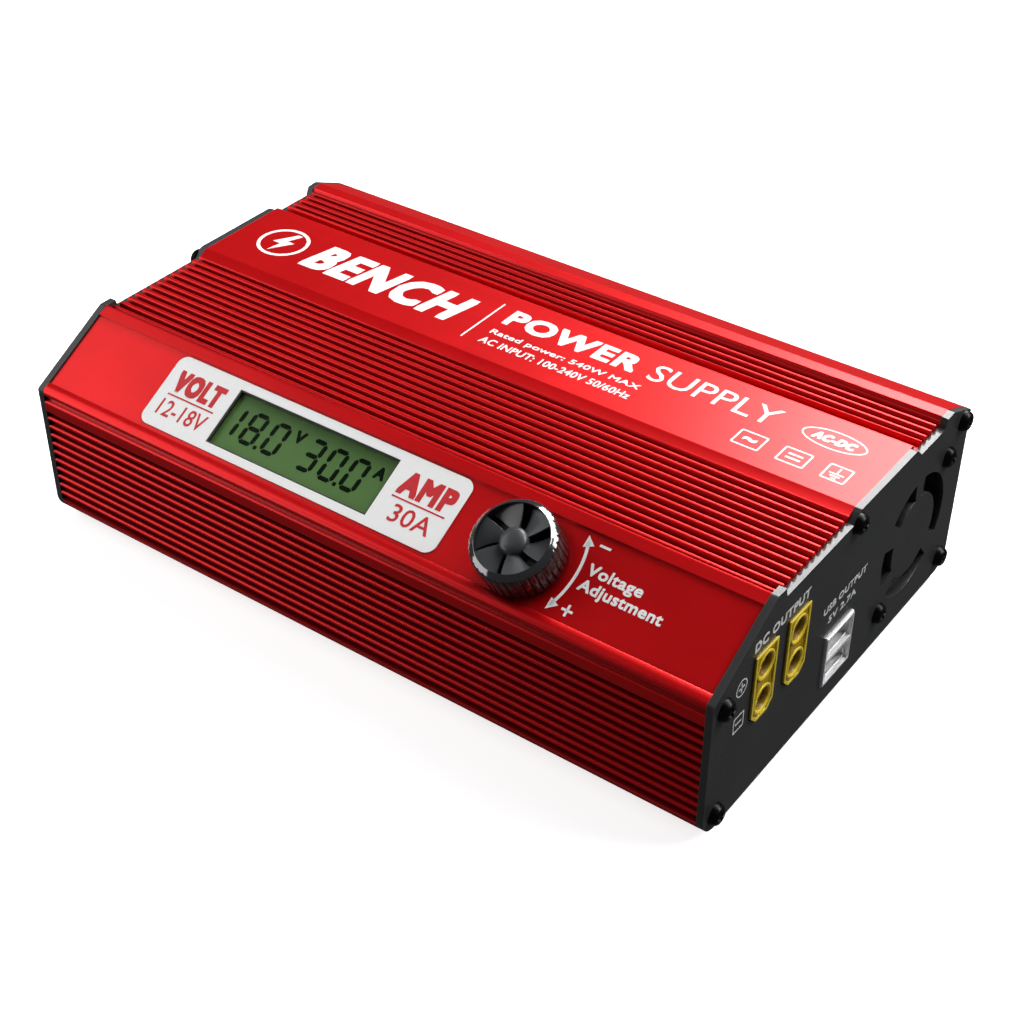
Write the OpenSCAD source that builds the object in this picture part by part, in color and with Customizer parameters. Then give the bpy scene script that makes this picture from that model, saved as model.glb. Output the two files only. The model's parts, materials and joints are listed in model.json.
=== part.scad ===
// Bench power supply in a ribbed aluminium case, with a sloped instrument face.
// Origin: middle of the footprint, on the surface it stands on. +X runs along the case to the
// outlet end, -Y faces the user, +Z is up. Millimetres.

/* [Case] */
// Length over both end plates
case_l = 218; // [200:1:240]
// Depth from front wall to back wall
case_w = 130.5; // [128:0.5:136]
// Height of the case without its feet
case_h = 57.2; // [56.5:0.1:59]
// Thickness of each end plate
plate_t = 2; // [1.5:0.1:3]
// Height of the rubber feet
foot_h = 2.5; // [1.5:0.1:4]

/* [Ribs] */
// Depth of the grooves between ribs
groove_d = 1.4; // [0.8:0.1:1.6]
// Width of a groove at its mouth
groove_mouth = 1.7; // [1.2:0.1:1.9]
// Width of a groove at its floor
groove_floor = 1.1; // [0.6:0.1:1.2]
// Distance between grooves on the top
top_pitch = 2.92; // [2.7:0.01:3]
// Distance between grooves on the front and back walls
wall_pitch = 2.87; // [2.7:0.01:2.9]

/* [Controls] */
// Radius of the adjusting knob
knob_r = 11.2; // [9:0.1:11.6]
// Height of the knob above the sloped face
knob_h = 11; // [9:0.5:14]
// Travel of the mains rocker from on to off, in degrees
rocker_throw = 24; // [16:1:26]

/* [Cooling] */
// Thickness of the fan
fan_t = 10; // [8:1:12]
// Number of fan blades
fan_blades = 7; // [5:1:9]

/* [Hidden] */

$fn = 48;

// Case section, in the plane across the case: [y, z] from the middle of the case's underside
half_w = case_w / 2;
half_l = case_l / 2;
shell_x = half_l - plate_t;
shell_l = 2 * shell_x;
corner_r = 6;
wall = 3.2;
floor_t = 2;
ceiling_z = case_h - 4.7;
rib_z = case_h - 1.3;
plate_low_z = rib_z - groove_d - 0.1;
slope_top = [-39.4, case_h - 0.2];
slope_foot = [-half_w, 42.7];
slope_run = slope_foot - slope_top;
slope_len = norm(slope_run);
slope_dir = slope_run / slope_len;
slope_out = [slope_dir[1], -slope_dir[0]];
slope_angle = atan2(-slope_dir[1], -slope_dir[0]);
slope_wall = 2.2;
ridge = [53.3, case_h];
back_edge = [half_w, case_h - 4.8];
back_dir = (back_edge - ridge) / norm(back_edge - ridge);
back_out = [-back_dir[1], back_dir[0]];
front_joint_z = 40.3;
back_joint_z = 47;
cove_d = 1.5;
cove_half = 1.1;
bead_r = 1.6;
bead_centre = [bead_r - half_w, slope_foot[1] - bead_r * (1 + slope_dir[1]) / -slope_dir[0]];
panel_drop = 0.5;
panel_top_v = 2.4;
panel_foot_v = 26.8;
band_front_y = 1.6;
band_back_y = 33.7;
wide_groove_end_y = 37.9;
first_groove_z = 3.3;
corner_groove_a = 27;
front_grooves = 12;
back_grooves = 13;
first_top_groove_y = -37.2;
top_grooves = 13;
rear_top_groove_y = 39.6;
rear_top_grooves = 4;

// Fixings: [y, z] of the screws that hold each end plate
plate_screws = [[1, 53.5], [61, 50.5], [60, 5.5], [-60, 38.5], [-60, 5]];
cover_bosses = [plate_screws[0], plate_screws[1]];
shell_bosses = [plate_screws[2], plate_screws[3], plate_screws[4]];
boss_r = 2.4;
boss_bore_r = 1.5;
screw_r = 1.45;
screw_head_r = 3;
screw_head_h = 2.2;
screw_l = 8;
screw_hole_r = 1.7;

// Instrument face: distances down the slope from its top corner, and along X from the middle
label_x = -23.8;
label_size = [100, 22.1];
label_v = 14.25;
label_t = 0.25;
window_x = -23.45;
window_v = 14.35;
window_size = [54.5, 17.1];
label_gap = 0.02;

// Display behind the window: heights along the face's normal, so below the face they are negative
display_v = window_v + 0.4;
glass_heights = [-1.7, -1.1];
cell_face = -1.75;
cell_step = -2.75;
cell_back = -4.6;
cell_size = [60, 18];
bezel_back = -6.6;
bezel_size = [62, 18.6];
bezel_window = [56, 14];
display_board_back = -8.2;
display_board_size = [74, 18.5];
display_bolts = [for (x = [-33.5, 33.5]) for (v = [-5.5, 5.5]) [window_x + x, window_v + v]];
display_bolt_r = 1;

// Knob and the potentiometer that it turns
knob_x = 48.5;
knob_v = 15.87;
knob_gap = 0.6;
knob_shoulder = [0.45, 0.8];
shaft_r = 3;
shaft_clear = 0.05;
bushing_r = 3.5;
pot_r = 8;
pot_h = 9;

// Outlet end, [y, z]
socket_a = [-42.35, 34.2];
socket_b = [-26.75, 34.2];
socket_size = [10.3, 21.4];
socket_chamfer = 2.4;
socket_depth = 16;
socket_rear_x = half_l + 0.3 - socket_depth;
contact_pitch = 10.6;
contact_r = 3;
contact_bore_r = 2.25;
contact_stub_r = 2.4;
contact_shelf = 2.5;
contact_stub_l = 2;
usb = [-2.25, 15.75];
usb_size = [14.3, 16.3];
usb_depth = 19;
usb_x = half_l + 0.6 - usb_depth;
usb_ports = [[0, -3.9], [0, 3.9]];
usb_port = [13.1, 6.8];
usb_back = 1;
tongue_size = [11.2, 1.9];
tongue_up = 1.2;
fan = [38, 26.7];
fan_side = 40;
fan_corner_r = 2.5;
fan_pitch = 32;
fan_x = shell_x - fan_t;
fan_duct_r = 19;
fan_hub_r = 11;
fan_axle_r = 1;
fan_bearing_r = 2.58;
grille_in_r = 12;
grille_out_r = 17.7;
grille_slots = [[-28, 82], [98, 140], [165, 205], [225, 310]];
fan_bolts = [[16, 16], [-16, -16]];

// Mains end, [y, z]
inlet = [22, 28];
inlet_cavity = [24.2, 16.8];
inlet_body = [27.2, 19.8];
inlet_flange = [34, 24];
inlet_flange_t = 2;
inlet_screws = [-20, 20];
inlet_ear_r = 5;
inlet_depth = 15.5;
inlet_pins = [[-7, -2], [0, 2], [7, -2]];
inlet_pin = [2, 4];
inlet_pin_x = -half_l - 0.4;
inlet_pin_l = inlet_depth + 7;
switch_at = [-12, 28];
switch_body = [13, 19.2];
switch_lip = [15, 21.2];
switch_well = [10.6, 17.4];
switch_body_l = 14;
switch_axis_in = 1;
switch_pin_r = 1;
terminal_x = -half_l + switch_body_l - 0.1;
terminal_l = 7;
terminal_up = 5.5;
vent_slots = [for (i = [0:8]) -55 + 4 * i];
vent_slot = [2.2, 26];
vent_z = 26;

// Circuit board
board_z = 6;
board_t = 1.6;
board_top = board_z + board_t;
board_half_w = 55.5;
transformer = [22, 8];
choke = [-24, 14];
line_filter = [-80, -38];
board_bolts = [[-92, -50], [-92, 50], [1, -50], [1, 50], [84, -50], [84, 50]];

// The whole object's middle: the knob reaches past the front wall, so the case sits back by half of that
knob_rim = slope_top + slope_dir * (knob_v + knob_r - knob_shoulder[0])
    + slope_out * (knob_h - knob_shoulder[1]);
case_y = (-knob_rim[0] - half_w) / 2;

function arc(c, r, a0, a1, steps) =
    [for (i = [0:steps]) c + r * [cos(a0 + (a1 - a0) * i / steps), sin(a0 + (a1 - a0) * i / steps)]];

// Corner points of a row of grooves cut from a straight edge that starts at p and runs along dir
function groove_row(p, dir, inward, first, pitch, count) =
    [for (i = [0:count - 1])
        let (c = p + dir * (first + i * pitch))
        each [c - dir * groove_mouth / 2,
            c - dir * groove_floor / 2 + inward * groove_d,
            c + dir * groove_floor / 2 + inward * groove_d,
            c + dir * groove_mouth / 2]];

// The same groove cut into a rounded corner of the tray, at angle a from the corner's centre c
function corner_groove(c, a) =
    let (mouth = groove_mouth / corner_r * 90 / PI, base = groove_floor / (corner_r - groove_d) * 90 / PI)
    [c + corner_r * [cos(a + mouth), sin(a + mouth)],
        c + (corner_r - groove_d) * [cos(a + base), sin(a + base)],
        c + (corner_r - groove_d) * [cos(a - base), sin(a - base)],
        c + corner_r * [cos(a - mouth), sin(a - mouth)]];

function at_z(p, dir, z) = p + dir * (z - p[1]) / dir[1];
function at_y(p, dir, y) = p + dir * (y - p[0]) / dir[0];

module place() { translate([0, case_y, foot_h]) children(); }

// A rectangle with rounded corners
function rounded(size, r) =
    let (y = size[0] / 2 - r, z = size[1] / 2 - r)
    concat(arc([y, z], r, 0, 90, 5), arc([-y, z], r, 90, 180, 5),
        arc([-y, -z], r, 180, 270, 5), arc([y, -z], r, 270, 360, 5));

module section_run(x, length) {
    translate([x, 0, 0]) rotate([90, 0, 90]) linear_extrude(length) children();
}

module x_rod(x, at, r, length) {
    translate([x, at[0], at[1]]) rotate([0, 90, 0]) cylinder(r = r, h = length);
}

// A box in the end-plate plane: x is its lower end, at its middle, size across Y and Z
module x_box(x, at, size, length) {
    translate([x, at[0] - size[0] / 2, at[1] - size[1] / 2]) cube([length, size[0], size[1]]);
}

// Puts children on the sloped face: their X along the case, Y up the slope, Z out of the face
module on_slope(x, v, out = 0) {
    p = slope_top + slope_dir * v + slope_out * out;
    translate([x, p[0], p[1]]) rotate([slope_angle, 0, 0]) children();
}

// A plate on the sloped face, from depth lo to hi along the outward normal
module slope_box(x, v, size, lo, hi) {
    on_slope(x, v, lo) translate([-size[0] / 2, -size[1] / 2, 0]) cube([size[0], size[1], hi - lo]);
}

module window_cut() { slope_box(window_x, window_v, window_size, -6, 3); }

module pan_head(r, h) {
    rim = h * 0.45;
    rotate_extrude() polygon([[0, 0], [r, 0], [r, rim], [r * 0.86, h * 0.82], [r * 0.5, h], [0, h]]);
}

module cross_recess(w, depth) {
    for (a = [0, 90]) rotate([0, 0, a]) translate([-w / 2, -0.4, -depth]) cube([w, 0.8, depth + 1]);
}

// A cross-recess screw along +Z: its head sits on z = 0 and its shank runs down from it
module screw(r, head_r, head_h, length) {
    difference() {
        union() {
            pan_head(head_r, head_h);
            translate([0, 0, -length]) cylinder(r = r, h = length + 0.1);
        }
        translate([0, 0, head_h]) cross_recess(head_r * 1.1, head_h * 0.55);
    }
}

// ---- Case ----

// Outer edge of the upper shell, from the front joint over the top to the back joint
function cover_outer() = concat(
    [[-half_w + cove_d, front_joint_z], [-half_w + cove_d, front_joint_z + 0.3]],
    arc(bead_centre, bead_r, 225, 90 + slope_angle, 8),
    [slope_top + slope_dir * panel_foot_v,
        slope_top + slope_dir * (panel_foot_v - 0.4) - slope_out * panel_drop,
        slope_top + slope_dir * (panel_top_v + 0.4) - slope_out * panel_drop,
        slope_top + slope_dir * panel_top_v],
    arc(slope_top + [1.1, -1], 1.2, 90 + slope_angle, 80, 4),
    [[slope_top[0] + 1.3, rib_z]],
    groove_row([0, rib_z], [1, 0], [0, -1], first_top_groove_y, top_pitch, top_grooves),
    [[band_front_y - 2.2, rib_z], [band_front_y, case_h - 0.1], [band_front_y + 0.4, case_h],
        [band_back_y, case_h], [band_back_y + 0.5, rib_z - groove_d],
        [wide_groove_end_y - 0.3, rib_z - groove_d], [wide_groove_end_y, rib_z]],
    groove_row([0, rib_z], [1, 0], [0, -1], rear_top_groove_y, top_pitch, rear_top_grooves),
    [[ridge[0] - 3.6, rib_z], [ridge[0] - 3.1, case_h - 0.2]],
    arc(ridge - [0, 1.5], 1.5, 90, atan2(back_out[1], back_out[0]), 3),
    arc(back_edge - [1.2, 1.2], 1.2, atan2(back_out[1], back_out[0]), 0, 4),
    [[half_w, back_joint_z + cove_half], [half_w - cove_d, back_joint_z + cove_half - 0.4],
        [half_w - cove_d, back_joint_z]]);

// Inner edge of the upper shell, from the back joint to the front joint
function cover_inner() =
    let (slope_in = slope_top - slope_out * slope_wall,
        back_in = ridge - back_out * slope_wall)
    [[half_w - wall, back_joint_z],
        at_y(back_in, back_dir, half_w - wall),
        at_z(back_in, back_dir, ceiling_z),
        at_z(slope_in, slope_dir, ceiling_z),
        at_y(slope_in, slope_dir, -half_w + wall),
        [-half_w + wall, front_joint_z]];

module top_cover() {
    color("crimson") place() difference() {
        union() {
            section_run(-shell_x, shell_l) polygon(concat(cover_outer(), cover_inner()));
            for (b = cover_bosses) x_rod(-shell_x, b, boss_r, shell_l);
        }
        for (b = cover_bosses) x_rod(-half_l, b, boss_bore_r, case_l);
        window_cut();
        on_slope(knob_x, knob_v, -6) cylinder(r = bushing_r + 0.1, h = 10);
    }
}

// Outer edge of the tray, from the back joint under the case to the front joint
function tray_outer() = concat(
    [[half_w - cove_d, back_joint_z], [half_w - cove_d, back_joint_z - cove_half + 0.4],
        [half_w, back_joint_z - cove_half]],
    groove_row([half_w, first_groove_z], [0, -1], [-1, 0],
        -(back_grooves - 1) * wall_pitch, wall_pitch, back_grooves - 1),
    corner_groove([half_w - corner_r, corner_r], -corner_groove_a),
    arc([half_w - corner_r, corner_r], corner_r, -40, -90, 5),
    arc([-half_w + corner_r, corner_r], corner_r, 270, 220, 5),
    corner_groove([-half_w + corner_r, corner_r], 180 + corner_groove_a),
    groove_row([-half_w, first_groove_z], [0, 1], [1, 0], wall_pitch, wall_pitch, front_grooves - 1),
    [[-half_w, front_joint_z - cove_half], [-half_w + cove_d, front_joint_z - cove_half + 0.5],
        [-half_w + cove_d, front_joint_z]]);

// Inner edge of the tray, with a lip behind each joint that locates the cover
function tray_inner() =
    let (lip_y = half_w - wall - 0.1, lip_t = 1.4, lip_up = 0.8, lip_down = 2.5,
        inner_r = corner_r - floor_t)
    concat(
        [[-half_w + wall, front_joint_z], [-lip_y, front_joint_z],
            [-lip_y, front_joint_z + lip_up], [-lip_y + lip_t, front_joint_z + lip_up],
            [-lip_y + lip_t, front_joint_z - lip_down], [-half_w + wall, front_joint_z - lip_down - 1.5]],
        arc([-half_w + wall + inner_r, floor_t + inner_r], inner_r, 180, 270, 5),
        arc([half_w - wall - inner_r, floor_t + inner_r], inner_r, 270, 360, 5),
        [[half_w - wall, back_joint_z - lip_down - 1.5], [lip_y - lip_t, back_joint_z - lip_down],
            [lip_y - lip_t, back_joint_z + lip_up], [lip_y, back_joint_z + lip_up],
            [lip_y, back_joint_z], [half_w - wall, back_joint_z]]);

module lower_shell() {
    color("crimson") place() difference() {
        union() {
            section_run(-shell_x, shell_l) polygon(concat(tray_outer(), tray_inner()));
            for (b = shell_bosses) x_rod(-shell_x, b, boss_r, shell_l);
        }
        for (b = shell_bosses) x_rod(-half_l, b, boss_bore_r, case_l);
    }
}

// Outline of both end plates, seen from the outlet end: it follows the groove floors of the case
function plate_outline() = concat(
    arc([-half_w + corner_r, corner_r], corner_r, 270, 180, 8),
    arc([-half_w + 1, slope_foot[1] - 0.6], 1, 180, 90 + slope_angle, 3),
    [slope_top + slope_dir * 1.2],
    arc(slope_top + [0.8, -1], 1.2, 90 + slope_angle, 90, 2),
    [[-35, case_h], [-34.2, plate_low_z], [-1.6, plate_low_z], [0.8, case_h - 0.6], [1.8, case_h],
        [31.6, case_h], [32.8, case_h - 0.6], [35, plate_low_z], [48.6, plate_low_z],
        [49.8, case_h - 0.2], [ridge[0], ridge[1]]],
    arc(back_edge - [1.2, 1.2], 1.2, atan2(back_out[1], back_out[0]), 0, 4),
    arc([half_w - corner_r, corner_r], corner_r, 0, -90, 8));

module blank_plate(x) {
    section_run(x, plate_t) polygon(plate_outline());
}

module arc_slot(x, from, to, r_in, r_out) {
    translate([x, fan[0], fan[1]]) rotate([90, 0, 90]) rotate([0, 0, from])
        rotate_extrude(angle = to - from) translate([r_in, 0]) square([r_out - r_in, plate_t + 2]);
}

function socket_section(size, chamfer) =
    let (y = size[0] / 2, z = size[1] / 2)
    [[-y + chamfer, -z], [y - chamfer, -z], [y, -z + chamfer], [y, z - 0.6], [y - 0.6, z],
        [-y + 0.6, z], [-y, z - 0.6], [-y, -z + chamfer]];

module output_end_plate() {
    color([0.13, 0.13, 0.14]) place() difference() {
        blank_plate(shell_x);
        for (s = plate_screws) x_rod(shell_x - 1, s, screw_hole_r, plate_t + 2);
        for (s = fan_bolts) x_rod(shell_x - 1, fan + s, screw_hole_r, plate_t + 2);
        for (s = grille_slots) arc_slot(shell_x - 1, s[0], s[1], grille_in_r, grille_out_r);
        for (at = [socket_a, socket_b]) translate([0, at[0], at[1]])
            section_run(shell_x - 1, plate_t + 2)
                polygon(socket_section(socket_size + [0.3, 0.3], socket_chamfer));
        x_box(shell_x - 1, usb, usb_size + [0.4, 0.4], plate_t + 2);
    }
}

module input_end_plate() {
    color([0.13, 0.13, 0.14]) place() difference() {
        blank_plate(-half_l);
        for (s = plate_screws) x_rod(-half_l - 1, s, screw_hole_r, plate_t + 2);
        x_box(-half_l - 1, inlet, inlet_body + [0.4, 0.4], plate_t + 2);
        for (s = inlet_screws) x_rod(-half_l - 1, inlet + [s, 0], screw_hole_r, plate_t + 2);
        x_box(-half_l - 1, switch_at, switch_body + [0.2, 0.2], plate_t + 2);
        for (y = vent_slots) {
            straight = vent_slot - [0, vent_slot[0]];
            x_box(-half_l - 1, [y, vent_z], straight, plate_t + 2);
            for (e = [-0.5, 0.5])
                x_rod(-half_l - 1, [y, vent_z + e * straight[1]], vent_slot[0] / 2, plate_t + 2);
        }
    }
}

module plate_screw() { screw(screw_r, screw_head_r, screw_head_h, screw_l); }

module output_plate_screws() {
    color([0.08, 0.08, 0.08]) place() for (s = plate_screws)
        translate([half_l, s[0], s[1]]) rotate([0, 90, 0]) plate_screw();
}

module input_plate_screws() {
    color([0.08, 0.08, 0.08]) place() for (s = plate_screws)
        translate([-half_l, s[0], s[1]]) rotate([0, -90, 0]) plate_screw();
}

module rubber_feet() {
    color([0.15, 0.15, 0.15]) translate([0, case_y, 0]) for (x = [-90, 90]) for (y = [-48, 48])
        translate([x, y, 0]) rotate_extrude()
            polygon([[0, 0], [5.4, 0], [6, 0.6], [6.4, foot_h], [0, foot_h]]);
}

// ---- Instrument face ----

module front_label() {
    r = 3;
    inner = [label_size[0] / 2 - r, label_size[1] / 2 - r];
    color("white") place() difference() {
        on_slope(label_x, label_v, label_gap - panel_drop) union() {
            translate([-label_size[0] / 2, -inner[1], 0]) cube([label_size[0], 2 * inner[1], label_t]);
            translate([-inner[0], -label_size[1] / 2, 0]) cube([2 * inner[0], label_size[1], label_t]);
            for (x = [-1, 1]) for (y = [-1, 1])
                translate([x * inner[0], y * inner[1], 0]) cylinder(r = r, h = label_t);
        }
        window_cut();
    }
}

module lcd_glass() {
    color([0.7, 0.8, 0.7, 0.4]) place()
        slope_box(window_x, window_v, window_size - [0.3, 0.3], glass_heights[0], glass_heights[1]);
}

module lcd_cell() {
    color([0.35, 0.5, 0.28]) place() union() {
        slope_box(window_x, window_v, window_size - [0.3, 0.3], cell_step - 0.05, cell_face);
        slope_box(window_x, display_v, cell_size, cell_back, cell_step);
    }
}

module lcd_bezel() {
    color([0.1, 0.1, 0.1]) place() difference() {
        slope_box(window_x, display_v, bezel_size, bezel_back, cell_back);
        slope_box(window_x, display_v, bezel_window, bezel_back - 1, cell_back + 1);
    }
}

module display_board() {
    color("darkgreen") place() difference() {
        slope_box(window_x, display_v, display_board_size, display_board_back, bezel_back);
        for (b = display_bolts) on_slope(b[0], b[1], display_board_back - 1)
            cylinder(r = display_bolt_r + 0.2, h = 3);
    }
}

module display_spacers() {
    color("silver") place() for (b = display_bolts) on_slope(b[0], b[1], bezel_back) difference() {
        cylinder(r = 2.1, h = -bezel_back - slope_wall);
        translate([0, 0, -1]) cylinder(r = display_bolt_r + 0.05, h = 3.6);
    }
}

module display_screws() {
    color("dimgray") place() for (b = display_bolts) on_slope(b[0], b[1], display_board_back)
        rotate([180, 0, 0]) screw(display_bolt_r, 1.9, 1.2, 3.6);
}

// Turbine faced knob: a cup with a domed hub, broad slanted blades across it and a fluted skirt
module knob() {
    cup_floor = 6.5;
    cup_r = knob_r - 1.8;
    hub_r = 3.8;
    blades = 6;
    blade_w = 5;
    blade_t = 1;
    blade_tilt = 28;
    flutes = 36;
    color([0.06, 0.06, 0.07]) place() on_slope(knob_x, knob_v) difference() {
        union() {
            rotate_extrude() polygon([[0, knob_gap], [knob_r - 0.5, knob_gap], [knob_r, knob_gap + 0.5],
                [knob_r, knob_h - 2], [knob_r - knob_shoulder[0], knob_h - knob_shoulder[1]],
                [knob_r - 1.2, knob_h], [cup_r + 0.2, knob_h - 0.2], [cup_r, cup_floor],
                [hub_r, cup_floor], [hub_r - 0.2, knob_h - 1.8], [hub_r * 0.78, knob_h - 1],
                [hub_r * 0.4, knob_h - 0.5], [0, knob_h - 0.4]]);
            intersection() {
                cylinder(r = cup_r + 0.1, h = knob_h);
                for (i = [0:blades - 1]) rotate([0, 0, i * 360 / blades])
                    translate([hub_r - 1, 0, cup_floor + 1.8]) rotate([-blade_tilt, 0, 0])
                        translate([0, -blade_w / 2, -blade_t / 2]) cube([knob_r, blade_w, blade_t]);
            }
        }
        translate([0, 0, -1]) cylinder(r = 7.5, h = 5);
        translate([0, 0, -1]) cylinder(r = shaft_r + 0.01, h = 10);
        for (i = [0:flutes - 1]) rotate([0, 0, i * 360 / flutes])
            translate([knob_r + 0.12, 0, -1]) cylinder(r = 0.42, h = 9, $fn = 16);
    }
}

module pot_shaft() {
    color("silver") place() on_slope(knob_x, knob_v, -8) cylinder(r = shaft_r, h = 16.9);
}

module pot_body() {
    color("gray") place() on_slope(knob_x, knob_v) difference() {
        union() {
            translate([0, 0, -slope_wall - pot_h]) cylinder(r = pot_r, h = pot_h);
            translate([0, 0, -slope_wall - 0.1]) cylinder(r = bushing_r, h = slope_wall + 3.4);
        }
        translate([0, 0, -8.4]) cylinder(r = shaft_r + shaft_clear, h = 20);
    }
}

module pot_washer() {
    color("silver") place() on_slope(knob_x, knob_v, -panel_drop) difference() {
        cylinder(r = 6, h = 0.5);
        translate([0, 0, -1]) cylinder(r = bushing_r + 0.1, h = 3);
    }
}

module pot_nut() {
    color("silver") place() on_slope(knob_x, knob_v, 0.5 - panel_drop) difference() {
        cylinder(r = 5.6, h = 2, $fn = 6);
        translate([0, 0, -1]) cylinder(r = bushing_r + 0.02, h = 4);
    }
}

// ---- Outlets ----

module dc_socket(at) {
    color("gold") place() translate([0, at[0], at[1]]) difference() {
        section_run(socket_rear_x, socket_depth) polygon(socket_section(socket_size, socket_chamfer));
        for (s = [-0.5, 0.5]) {
            x_rod(socket_rear_x + contact_shelf, [0, s * contact_pitch], contact_r + 0.02, socket_depth);
            x_rod(socket_rear_x - 1, [0, s * contact_pitch], contact_stub_r + 0.02, 5);
        }
    }
}

module dc_socket_a() { dc_socket(socket_a); }
module dc_socket_b() { dc_socket(socket_b); }

// One sleeve with its closed end and the stub that a lead is soldered to
module dc_contact(at) {
    sleeve_l = 12.2;
    end_t = 1.2;
    translate([socket_rear_x, 0, 0]) difference() {
        union() {
            x_rod(contact_shelf, at, contact_r, sleeve_l);
            x_rod(-contact_stub_l, at, contact_stub_r, 5);
        }
        x_rod(contact_shelf + end_t, at, contact_bore_r, socket_depth);
    }
}

module dc_contacts() {
    color([0.85, 0.65, 0.2]) place() for (at = [socket_a, socket_b]) for (s = [-0.5, 0.5])
        dc_contact(at + [0, s * contact_pitch]);
}

module usb_shell() {
    color("silver") place() difference() {
        x_box(usb_x, usb, usb_size, usb_depth);
        for (p = usb_ports) x_box(usb_x + usb_back, usb + p, usb_port, usb_depth);
    }
}

module usb_tongues() {
    color("white") place() for (p = usb_ports) union() {
        x_box(usb_x + usb_back, usb + p, usb_port, 2.5);
        x_box(usb_x + 3, usb + p + [0, tongue_up], tongue_size, usb_depth - 4.6);
    }
}

module usb_contacts() {
    contact_up = tongue_up - tongue_size[1] / 2 - 0.15;
    color("gold") place() for (p = usb_ports) for (y = [-3.5, -1, 1, 3.5])
        x_box(usb_x + 3.5, usb + p + [y, contact_up], [1, 0.3], usb_depth - 6);
}

// ---- Mains end ----

// The recess outline of the appliance inlet: a rectangle with two corners cut at 45 degrees
function inlet_section(size, cut) =
    let (y = size[0] / 2, z = size[1] / 2)
    [[-y, -z], [y, -z], [y, z - cut], [y - cut, z], [-y + cut, z], [-y, z - cut]];

module ac_inlet_housing() {
    face_x = -half_l - inlet_flange_t;
    color([0.1, 0.1, 0.1]) place() difference() {
        union() {
            x_box(face_x, inlet, inlet_flange, inlet_flange_t);
            for (s = inlet_screws) hull() {
                x_rod(face_x, inlet + [s, 0], inlet_ear_r, inlet_flange_t);
                x_rod(face_x, inlet + [s * 0.7, 0], 9, inlet_flange_t);
            }
            x_box(-half_l - 0.1, inlet, inlet_body, inlet_depth + 0.1);
        }
        translate([0, inlet[0], inlet[1]]) section_run(face_x - 1, inlet_depth + 1)
            polygon(inlet_section(inlet_cavity, 4));
        for (s = inlet_screws) x_rod(face_x - 1, inlet + [s, 0], screw_hole_r, inlet_flange_t + 2);
        for (p = inlet_pins) x_box(-half_l, inlet + p, inlet_pin, inlet_depth + 3);
    }
}

module ac_inlet_pins() {
    color("silver") place() for (p = inlet_pins) x_box(inlet_pin_x, inlet + p, inlet_pin, inlet_pin_l);
}

module ac_inlet_screws() {
    color("silver") place() for (s = inlet_screws)
        translate([-half_l - inlet_flange_t, inlet[0] + s, inlet[1]]) rotate([0, -90, 0])
            screw(screw_r, 2.8, 1.2, screw_l);
}

module switch_housing() {
    lip_t = 1.6;
    color([0.1, 0.1, 0.1]) place() difference() {
        union() {
            x_box(-half_l - lip_t, switch_at, switch_lip, lip_t);
            x_box(-half_l - 0.1, switch_at, switch_body, switch_body_l);
        }
        x_box(-half_l - lip_t - 1, switch_at, switch_well, lip_t + 10.5);
        translate([-half_l + switch_axis_in, switch_at[0], switch_at[1]]) rotate([90, 0, 0])
            cylinder(r = switch_pin_r + 0.01, h = switch_well[0] + 1.2, center = true);
    }
}

// The rocker is drawn level, then turned to its on position
module switch_rocker() {
    width = 10.2;
    // [outward from the pivot, up]
    outline = [[2.6, 8], [1.3, 0], [2.6, -8], [-2.4, -7.6], [-2.8, -6], [-2.2, -2.4], [-3.2, 0],
        [-2.2, 2.4], [-2.8, 6], [-2.4, 7.6]];
    color([0.16, 0.16, 0.17]) place()
        translate([-half_l + switch_axis_in, switch_at[0], switch_at[1]]) rotate([0, rocker_throw / 2, 0])
            difference() {
                rotate([90, 0, 0]) linear_extrude(width, center = true)
                    polygon([for (p = outline) [-p[0], p[1]]]);
                rotate([90, 0, 0]) cylinder(r = switch_pin_r + 0.05, h = width + 2, center = true);
            }
}

module switch_pivot() {
    color("silver") place() translate([-half_l + switch_axis_in, switch_at[0], switch_at[1]])
        rotate([90, 0, 0]) cylinder(r = switch_pin_r, h = switch_well[0] + 1, center = true);
}

module switch_terminals() {
    color([0.85, 0.7, 0.4]) place() for (z = [-terminal_up, terminal_up])
        x_box(terminal_x, switch_at + [0, z], [4.8, 0.8], terminal_l);
}

// ---- Fan ----

module fan_frame() {
    color([0.08, 0.08, 0.08]) place() difference() {
        union() {
            difference() {
                translate([0, fan[0], fan[1]]) section_run(fan_x, fan_t)
                    polygon(rounded([fan_side, fan_side], fan_corner_r));
                x_rod(fan_x - 1, fan, fan_duct_r, fan_t + 2);
            }
            x_rod(fan_x, fan, fan_hub_r, 1.4);
            for (a = [20, 110, 200, 290]) translate([fan_x, fan[0], fan[1]]) rotate([a, 0, 0])
                translate([0, -1.25, 2]) cube([1.4, 2.5, fan_duct_r - 1.5]);
        }
        x_rod(fan_x - 1, fan, fan_bearing_r + 0.02, 4);
        for (y = [-1, 1]) for (z = [-1, 1])
            x_rod(fan_x - 1, fan + [y, z] * fan_pitch / 2, 1.75, fan_t + 2);
    }
}

module fan_bearing() {
    color("goldenrod") place() difference() {
        x_rod(fan_x, fan, fan_bearing_r, 6);
        x_rod(fan_x + 0.8, fan, fan_axle_r + 0.05, 6);
    }
}

module fan_stator() {
    color([0.72, 0.45, 0.2]) place() difference() {
        union() {
            x_rod(fan_x + 1.6, fan, 4.2, 4);
            for (a = [0:90:270]) translate([fan_x + 1.9, fan[0], fan[1]]) rotate([a, 0, 0])
                translate([0, -1.6, 2.6]) cube([3.4, 3.2, 6]);
        }
        x_rod(fan_x, fan, fan_bearing_r + 0.02, 8);
    }
}

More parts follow.
